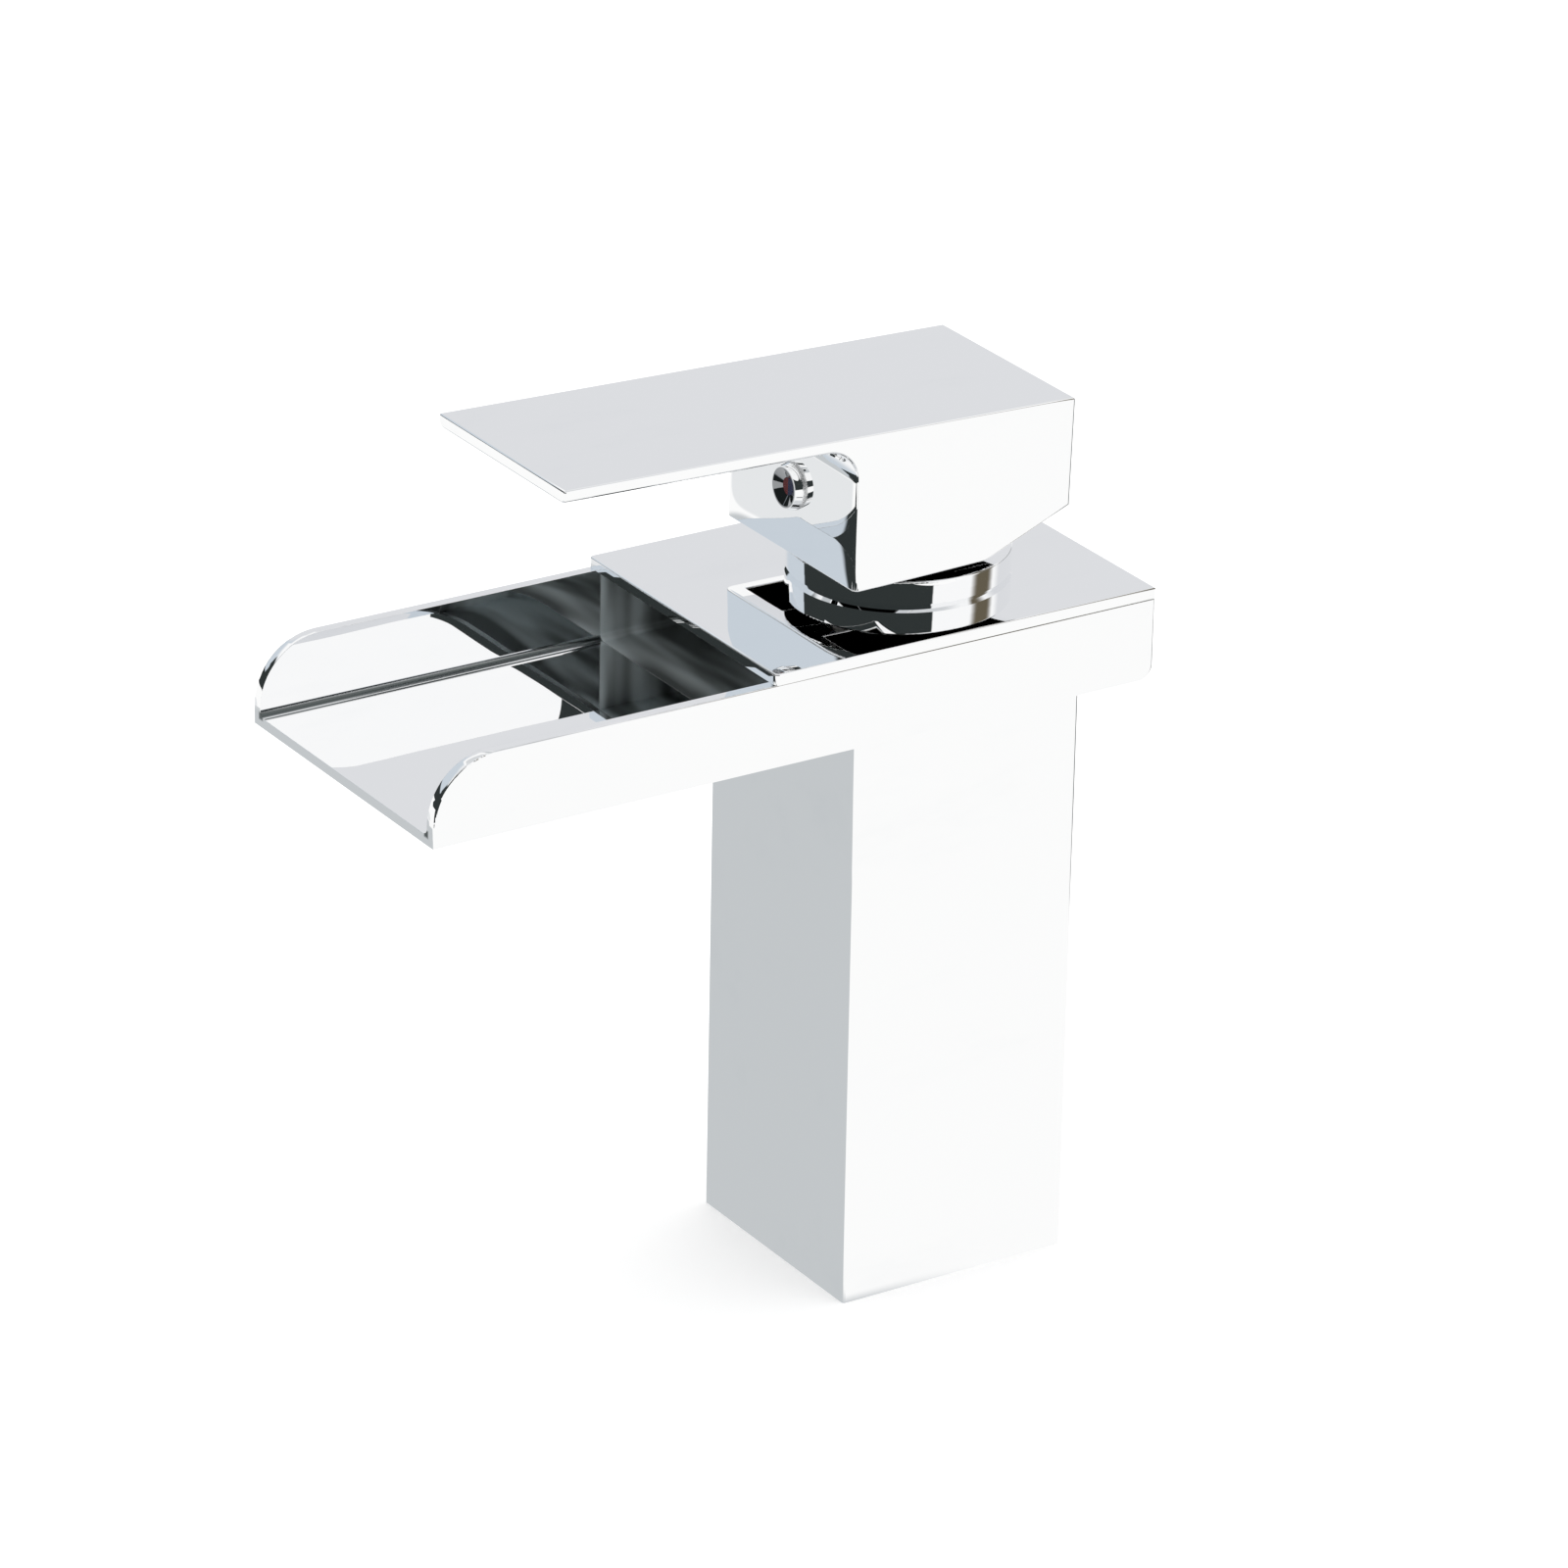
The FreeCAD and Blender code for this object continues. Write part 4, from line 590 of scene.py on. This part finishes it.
def paint_dish_shade_and_reflection(tree, position, surface, settings):
    """Paints shade and dark reflections into the hollow of the index button and blurs its side."""
    low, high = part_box("index_button")
    radius = (high.x - low.x) / 2
    offset = vectors(tree, "SUBTRACT", position, (low + high) / 2)
    away = vectors(tree, "LENGTH", vectors(tree, "MULTIPLY", offset, (1, 0, 1)))
    dish = ease(tree, away, radius - DISH_RIM[0], radius - DISH_RIM[1], 1.0, 0.0)
    barrel = ease(tree, away, radius - BARREL_RIM[0], radius - BARREL_RIM[1])
    # Painted shade and dark reflections in the dish.
    surface["Base Color"] = blend_colours(tree, dish, surface["Base Color"], settings.dish)
    surface["Roughness"] = fade(tree, barrel, surface["Roughness"], settings.barrel_roughness)


# Local finishes, some with painted shade and dark reflections: the spout's seams and covered rear,
# and the button's dish.
LOCAL_FINISHES_AND_PAINTED_SHADE = {"spout_trough": (seams_matt_with_painted_shade, chamber_matt_with_painted_bands), "spout_cover": (chamber_matt_with_painted_bands,),
                  "index_button": (paint_dish_shade_and_reflection,)}


def chrome(piece, settings):
    """Mirror chrome: faint waves, faces rounded near their edges, wiped haze, matt places with
    painted shade and dark reflections.
    """
    material, tree, shader, position = new_material(f"chrome_{piece}")
    low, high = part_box(piece)
    lever = piece == "lever_handle"
    polish = use_group(tree, "hand_polish", position=position, wave_length=settings.wave_length,
                       wave_height=settings.wave_height)
    edges = use_group(tree, "buffed_edges", position=position, centre=(low + high) / 2,
                      half_size=(high - low) / 2,
                      width=settings.lever_edge_width if lever else settings.edge_width,
                      depth=settings.lever_edge_depth if lever else settings.edge_depth)
    surface = {
        "Base Color": blend_colours(tree, polish["Wiped"], settings.bright, settings.hazy),
        "Roughness": ease(tree, polish["Wiped"], 0.0, 1.0, settings.clean_roughness,
                          settings.wiped_roughness),
        "Metallic": 1.0,
    }
    for finish in LOCAL_FINISHES_AND_PAINTED_SHADE.get(piece, ()):
        finish(tree, position, surface, settings)
    for label, value in surface.items():
        connect(tree, value, shader.inputs[label])
    raise_surface(tree, shader, maths(tree, "ADD", polish["Height"], edges["Height"]))
    return material


def mottled(name, colour, spread, roughness, patch_size, grain_size, metallic=0.0, rings=0.0,
            **plain):
    """A material whose tone and gloss change in patches and grains, with lathe rings if asked."""
    grain_share, ring_share = 0.35, 0.25
    ring_depth = 0.02 * rings
    glossiest, dullest = 0.8 * roughness, 1.25 * roughness
    material, tree, shader, position = new_material(name, metallic, **plain)
    change = use_group(tree, "mottling", position=position, patch_size=patch_size,
                       grain_size=grain_size)
    pale = [min(1.0, part * (1 + spread)) for part in colour]
    deep = [part * (1 - spread) for part in colour]
    mask = maths(tree, "MULTIPLY_ADD", change["Grain"], grain_share,
                 maths(tree, "MULTIPLY", change["Patches"], 1 - grain_share))
    height = change["Height"]
    if rings:
        turned = use_group(tree, "turning_marks", position=position, spacing=rings,
                           depth=ring_depth)
        mask = maths(tree, "MULTIPLY_ADD", turned["Marks"], ring_share,
                     maths(tree, "MULTIPLY", mask, 1 - ring_share))
        height = maths(tree, "ADD", height, turned["Height"])
    tree.links.new(blend_colours(tree, mask, deep, pale), shader.inputs["Base Color"])
    tree.links.new(ease(tree, change["Patches"], 0.0, 1.0, glossiest, dullest),
                   shader.inputs["Roughness"])
    raise_surface(tree, shader, height)
    return material


# ---- Pieces ------------------------------------------------------------------------------


def in_slot(slot):
    """The CAD nodes of a material slot."""
    return [name for name, own in SLOTS.items() if own == slot]


def dress(names, material):
    """Gives CAD nodes their finish."""
    for name in names:
        slots = NODES[name].data.materials
        slots.clear()
        slots.append(material)


def break_edges(name, radius):
    """Rounds the sharp edges of a CAD node, by modifiers that leave its mesh as it is."""
    piece = NODES[name]
    joined = piece.modifiers.new("joined_faces", "WELD")
    joined.merge_threshold = JOINED
    rounded = piece.modifiers.new("edge_break", "BEVEL")
    rounded.width = radius
    rounded.segments = BREAK_STEPS
    rounded.limit_method = "ANGLE"
    rounded.angle_limit = BREAK_ANGLE
    rounded.harden_normals = True


def new_object(name, mesh, material):
    """Makes an object with one material from a finished bmesh."""
    data = bpy.data.meshes.new(name)
    mesh.to_mesh(data)
    mesh.free()
    data.materials.append(material)
    made = bpy.data.objects.new(name, data)
    bpy.context.scene.collection.objects.link(made)
    return made


def helical_thread(name, centre, wall, pitch, low, high, inward, body, slot):
    """A triangular screw thread on a round wall, cut off level at both ends."""
    settings = bpy.context.scene.faucet_threads
    root = wall + THREAD_ROOT if inward else wall - THREAD_ROOT
    crest = wall - settings.height if inward else wall + settings.height
    turns = math.ceil((high - low) / pitch) + 2
    start = low - pitch
    mesh = bmesh.new()
    corners = [mesh.verts.new((centre[0] + radius, centre[1], start + share * pitch))
               for radius, share in zip((root, crest, crest, root), THREAD_SECTION)]
    sides = [mesh.edges.new((corners[i - 1], corners[i])) for i in (1, 2, 3, 0)]
    bmesh.ops.spin(mesh, geom=corners + sides, cent=(centre[0], centre[1], 0), axis=(0, 0, 1),
                   dvec=(0, 0, pitch / settings.steps), angle=math.tau * turns,
                   steps=settings.steps * turns, use_merge=False)
    for level, outwards in ((low, -1), (high, 1)):
        bmesh.ops.bisect_plane(mesh, geom=mesh.verts[:] + mesh.edges[:] + mesh.faces[:],
                               dist=SAME_PLACE, plane_co=(0, 0, level),
                               plane_no=(0, 0, outwards), clear_outer=True)
        rim = [edge for edge in mesh.edges if edge.is_boundary
               and all(abs(corner.co.z - level) < ON_LEVEL for corner in edge.verts)]
        bmesh.ops.holes_fill(mesh, edges=rim, sides=0)
    bmesh.ops.remove_doubles(mesh, verts=mesh.verts[:], dist=SAME_PLACE)
    bmesh.ops.recalc_face_normals(mesh, faces=mesh.faces[:])
    thread = new_object(name, mesh, bpy.data.materials[slot])
    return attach(thread, body)


# ---- Stage -------------------------------------------------------------------------------


def facing(azimuth):
    """Level direction towards an azimuth in degrees, 0 in front of the spout, 90 at its right."""
    turn = math.radians(azimuth)
    return (math.sin(turn), -math.cos(turn), 0)


def panel_mask(tree, direction, centre, half_width, softness, low, high, slope):
    """Mask of a studio panel, its centre and half width in degrees, its ends as heights."""
    return use_group(tree, "studio_panel", direction=direction, facing=facing(centre),
                     rim=math.cos(math.radians(half_width)), softness=softness, low=low,
                     high=high, slope=slope)["Mask"]


def studio_colour(tree, direction, settings):
    """What the chrome mirrors above the floor: white, with dim and dark upright panels."""
    panels = [  # colour, centre, half width, softness, low, high, slope
        (settings.ceiling, -123, 62, 0.10, -0.10, 0.62, 0.08),
        (settings.window, -57, 40, 0.10, -0.10, 0.62, 0.08),
        (settings.brown, 152, 13, 0.02, -0.02, 0.7, 0.02),
        (settings.dark, 20, 73.5, 0.02, -0.02, 0.62, 0.04),
        (settings.dark, 0, 100, 0.02, -0.02, 0.20, 0.02),
        (settings.overhead, 0, 180, 0.02, 0.80, 2.0, 0.05),
    ]
    colour = (1.0, 1.0, 1.0)
    for paint, *form in panels:
        colour = blend_colours(tree, panel_mask(tree, direction, *form), colour, paint)
    return colour


def make_world(settings):
    """White studio for the camera and for matt surfaces, panelled studio for mirrors."""
    world = bpy.data.worlds.new("studio")
    world.use_nodes = True
    tree = world.node_tree
    tree.nodes.clear()
    path = tree.nodes.new("ShaderNodeLightPath").outputs
    direction = tree.nodes.new("ShaderNodeTexCoord").outputs["Generated"]
    plain = node(tree, "ShaderNodeBackground", (1, 1, 1, 1), settings.daylight)
    mirrored = node(tree, "ShaderNodeBackground", studio_colour(tree, direction, settings), 1.0)
    seen = node(tree, "ShaderNodeBackground", (1, 1, 1, 1), 1.0)
    lit = node(tree, "ShaderNodeMixShader", path["Is Glossy Ray"], plain.outputs[0],
               mirrored.outputs[0])
    whole = node(tree, "ShaderNodeMixShader", path["Is Camera Ray"], lit.outputs[0],
                 seen.outputs[0])
    node(tree, "ShaderNodeOutputWorld", whole.outputs[0])
    return world


def round_patch(tree, position, centre, radius, softness):
    """Mask of a round patch of the floor, its softness a share of its radius."""
    away = vectors(tree, "LENGTH", vectors(tree, "SUBTRACT", position, centre))
    return ease(tree, away, radius * (1 - softness), radius * (1 + softness), 1.0, 0.0)


def floor_in_mirrors(tree, position, settings):
    """What the chrome mirrors of the floor: a white sheet with painted shade near the front and at
    the rear.
    """
    front = round_patch(tree, position, FRONT_CENTRE, FRONT_RADIUS, FRONT_SOFTNESS)
    shade = round_patch(tree, position, SHADE_CENTRE, SHADE_RADIUS, SHADE_SOFTNESS)
    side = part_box("column_body")[1].x
    left_of_side = ease(tree, part_of(tree, position, "X"), side + SHADE_SIDE[0],
                        side + SHADE_SIDE[1], 1.0, 0.0)
    behind = panel_mask(tree, position, PAINTED_STRIP_FACING, PAINTED_STRIP_HALF_WIDTH, PAINTED_STRIP_SOFTNESS,
                        *EVERY_HEIGHT)
    far = ease(tree, vectors(tree, "LENGTH", position), *PAINTED_STRIP_START)
    # Painted shade on the sheet: the spout's shadow, a paler patch in front and a dark strip at the
    # rear.
    colour = blend_colours(tree, front, settings.sheet, settings.front)
    colour = blend_colours(tree, maths(tree, "MULTIPLY", shade, left_of_side), colour,
                           settings.shade)
    return blend_colours(tree, maths(tree, "MULTIPLY", behind, far), colour, settings.painted_dark_strip)


def floor_material(settings):
    """Pale matt floor that keeps the faucet's shadow, and a glowing sheet with painted shade where
    chrome mirrors it.
    """
    material = bpy.data.materials.new("pale_floor")
    material.use_nodes = True
    tree = material.node_tree
    tree.nodes.clear()
    position = tree.nodes.new("ShaderNodeTexCoord").outputs["Object"]
    path = tree.nodes.new("ShaderNodeLightPath").outputs
    matt = node(tree, "ShaderNodeBsdfDiffuse", (*settings.floor, 1))
    lift = node(tree, "ShaderNodeEmission", (1, 1, 1, 1),
                maths(tree, "MULTIPLY", path["Is Camera Ray"], settings.floor_lift))
    plain = node(tree, "ShaderNodeAddShader", matt.outputs[0], lift.outputs[0])
    sheet = node(tree, "ShaderNodeEmission", floor_in_mirrors(tree, position, settings), 1.0)
    whole = node(tree, "ShaderNodeMixShader", path["Is Glossy Ray"], plain.outputs[0],
                 sheet.outputs[0])
    node(tree, "ShaderNodeOutputMaterial", whole.outputs[0])
    return material


def make_floor(settings):
    """The level floor that the faucet stands on."""
    mesh = bmesh.new()
    bmesh.ops.create_grid(mesh, x_segments=1, y_segments=1, size=settings.floor_size / 2)
    floor = new_object("floor", mesh, floor_material(settings))


def make_lamp(settings):
    """One large soft lamp above, which the chrome does not mirror."""
    lamp = bpy.data.lights.new("soft_lamp", "AREA")
    lamp.shape = "DISK"
    lamp.size = LAMP_DIAMETER
    lamp.energy = settings.lamp_power
    holder = bpy.data.objects.new("soft_lamp", lamp)
    holder.matrix_world = Matrix.Translation((0, 0, LAMP_HEIGHT))
    holder.visible_glossy = False
    bpy.context.scene.collection.objects.link(holder)


def camera_place(settings):
    """Where the camera stands and how it is turned, from its angles and distances."""
    azimuth, elevation, roll = settings.azimuth, settings.elevation, settings.roll
    back = Vector((math.sin(azimuth) * math.cos(elevation),
                   -math.cos(azimuth) * math.cos(elevation), math.sin(elevation)))
    right = Vector((math.cos(azimuth), math.sin(azimuth), 0))
    up = back.cross(right)
    turned_right = math.cos(roll) * right + math.sin(roll) * up
    turned_up = -math.sin(roll) * right + math.cos(roll) * up
    place = (-settings.aside * turned_right + settings.below * turned_up
             + settings.distance * back)
    turn = Matrix((turned_right, turned_up, back)).transposed().to_4x4()
    return Matrix.Translation(place) @ turn


def make_camera(settings):
    """The camera that the faucet is looked at with."""
    data = bpy.data.cameras.new("photo_camera")
    data.sensor_width = SENSOR_WIDTH
    data.lens = settings.lens
    data.clip_end = CLIP_END
    camera = bpy.data.objects.new("photo_camera", data)
    bpy.context.scene.collection.objects.link(camera)
    camera.matrix_world = camera_place(settings)
    return camera


# ---- Operators ---------------------------------------------------------------------------


class FAUCET_OT_chrome(bpy.types.Operator):
    """Gives the column, spout, cover, ring, lever and button their chrome and broken edges"""

    bl_idname = "faucet.chrome"
    bl_label = "Polished chrome"
    bl_options = {"REGISTER", "UNDO"}

    def execute(self, context):
        settings = context.scene.faucet_chrome
        for piece in in_slot("polished_chrome"):
            dress([piece], chrome(piece, settings))
        for piece in BROKEN_EDGES:
            break_edges(piece, settings.edge_break)
        return {"FINISHED"}


class FAUCET_OT_marks(bpy.types.Operator):
    """Gives the two halves of the button's mark their enamel"""

    bl_idname = "faucet.marks"
    bl_label = "Red and blue mark"
    bl_options = {"REGISTER", "UNDO"}

    def execute(self, context):
        paints = context.scene.faucet_fittings
        for slot, colour in (("red_mark", paints.red), ("blue_mark", paints.blue)):
            enamel = mottled(slot, colour, spread=0.15, roughness=0.30, patch_size=1.2 * MM,
                             grain_size=0.2 * MM, specular_ior_level=0.15)
            dress(in_slot(slot), enamel)
        return {"FINISHED"}


class FAUCET_OT_fittings(bpy.types.Operator):
    """Gives the pieces inside and under the faucet their metals, rubber, plastic and ceramic"""

    bl_idname = "faucet.fittings"
    bl_label = "Fittings"
    bl_options = {"REGISTER", "UNDO"}

    def execute(self, context):
        paints = context.scene.faucet_fittings
        looks = [  # slot, colour, spread, roughness, patches, grains, metallic, lathe rings
            ("raw_brass", paints.brass, 0.12, 0.26, 9 * MM, 0.5 * MM, 1.0, 0.35 * MM),
            ("nickel_plated_brass", paints.nickel, 0.08, 0.22, 8 * MM, 0.4 * MM, 1.0, 0.3 * MM),
            ("copper_tube", paints.copper, 0.18, 0.24, 6 * MM, 0.6 * MM, 1.0, 0.0),
            ("steel", paints.steel, 0.08, 0.22, 3 * MM, 0.3 * MM, 1.0, 0.2 * MM),
            ("black_rubber", paints.rubber, 0.35, 0.55, 4 * MM, 0.25 * MM, 0.0, 0.0),
            ("grey_plastic", paints.grey_plastic, 0.08, 0.42, 7 * MM, 0.3 * MM, 0.0, 0.0),
            ("white_plastic", paints.white_plastic, 0.05, 0.38, 7 * MM, 0.3 * MM, 0.0, 0.0),
            ("disc_ceramic", paints.ceramic, 0.05, 0.12, 5 * MM, 0.2 * MM, 0.0, 0.0),
        ]
        for slot, *look in looks:
            dress(in_slot(slot), mottled(slot, *look))
        return {"FINISHED"}


class FAUCET_OT_base_threads(bpy.types.Operator):
    """Adds the threads of the two inlets and of the stud's hole in the base plate"""

    bl_idname = "faucet.base_threads"
    bl_label = "Base threads"
    bl_options = {"REGISTER", "UNDO"}

    def execute(self, context):
        settings = context.scene.faucet_threads
        low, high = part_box("base_plate")
        for side in ("hot", "cold"):
            riser_low, riser_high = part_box(f"{side}_riser")
            middle = (riser_low + riser_high) / 2
            helical_thread(f"{side}_inlet_thread", middle, INLET_CORE / 2, settings.inlet_pitch,
                           low.z + LEAD_IN, riser_low.z - LEAD_IN, True, "faucet_body",
                           "raw_brass")
        helical_thread("stud_thread", (0, STUD_BACK), STUD_CORE / 2, settings.stud_pitch,
                       low.z + LEAD_IN, high.z - LEAD_IN, True, "faucet_body", "raw_brass")
        return {"FINISHED"}


class FAUCET_OT_neck_thread(bpy.types.Operator):
    """Adds the thread of the valve's neck between its nut and the cover"""

    bl_idname = "faucet.neck_thread"
    bl_label = "Neck thread"
    bl_options = {"REGISTER", "UNDO"}

    def execute(self, context):
        settings = context.scene.faucet_threads
        nut_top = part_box("neck_nut")[1].z
        cover_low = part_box("spout_cover")[0].z
        helical_thread("neck_thread", (0, 0), NECK_DIAMETER / 2, settings.neck_pitch,
                       nut_top + NECK_GAP, cover_low - NECK_GAP, False, "faucet_body",
                       "nickel_plated_brass")
        return {"FINISHED"}


class FAUCET_OT_stage(bpy.types.Operator):
    """Makes the studio, the floor, the soft lamp and the camera"""

    bl_idname = "faucet.stage"
    bl_label = "Stage"
    bl_options = {"REGISTER", "UNDO"}

    def execute(self, context):
        scene = context.scene
        scene.world = make_world(scene.faucet_stage)
        make_floor(scene.faucet_stage)
        make_lamp(scene.faucet_stage)
        scene.camera = make_camera(scene.faucet_camera)
        scene.view_settings.view_transform = "Standard"
        return {"FINISHED"}


# ---- Add-on ------------------------------------------------------------------------------


OPERATORS = (FAUCET_OT_chrome, FAUCET_OT_marks, FAUCET_OT_fittings, FAUCET_OT_base_threads,
             FAUCET_OT_neck_thread, FAUCET_OT_stage)
SETTINGS = (("faucet_chrome", ChromeSettings), ("faucet_fittings", FittingSettings),
            ("faucet_threads", ThreadSettings), ("faucet_camera", CameraSettings),
            ("faucet_stage", StageSettings))


class FAUCET_PT_panel(bpy.types.Panel):
    """Lists the faucet's settings, its pieces and its stage"""

    bl_idname = "FAUCET_PT_panel"
    bl_label = "Waterfall basin faucet"
    bl_space_type = "VIEW_3D"
    bl_region_type = "UI"
    bl_category = "Faucet"

    def draw(self, context):
        for name, group in SETTINGS:
            box = self.layout.box()
            box.label(text=group.__doc__)
            for label in group.__annotations__:
                box.prop(getattr(context.scene, name), label)
        for operator in OPERATORS:
            self.layout.operator(operator.bl_idname)


CLASSES = (*(group for _, group in SETTINGS), *OPERATORS, FAUCET_PT_panel)


def register():
    """Makes the settings, the operators and the panel known to Blender."""
    for kind in CLASSES:
        bpy.utils.register_class(kind)
    for name, group in SETTINGS:
        setattr(bpy.types.Scene, name, PointerProperty(type=group))


def unregister():
    """Takes them away again."""
    for name, _ in reversed(SETTINGS):
        delattr(bpy.types.Scene, name)
    for kind in reversed(CLASSES):
        bpy.utils.unregister_class(kind)


def main():
    """Dresses the faucet and sets its stage."""
    register()
    bpy.ops.faucet.chrome()
    bpy.ops.faucet.marks()
    bpy.ops.faucet.fittings()
    bpy.ops.faucet.base_threads()
    bpy.ops.faucet.neck_thread()
    bpy.ops.faucet.stage()


if __name__ == "__main__":
    main()
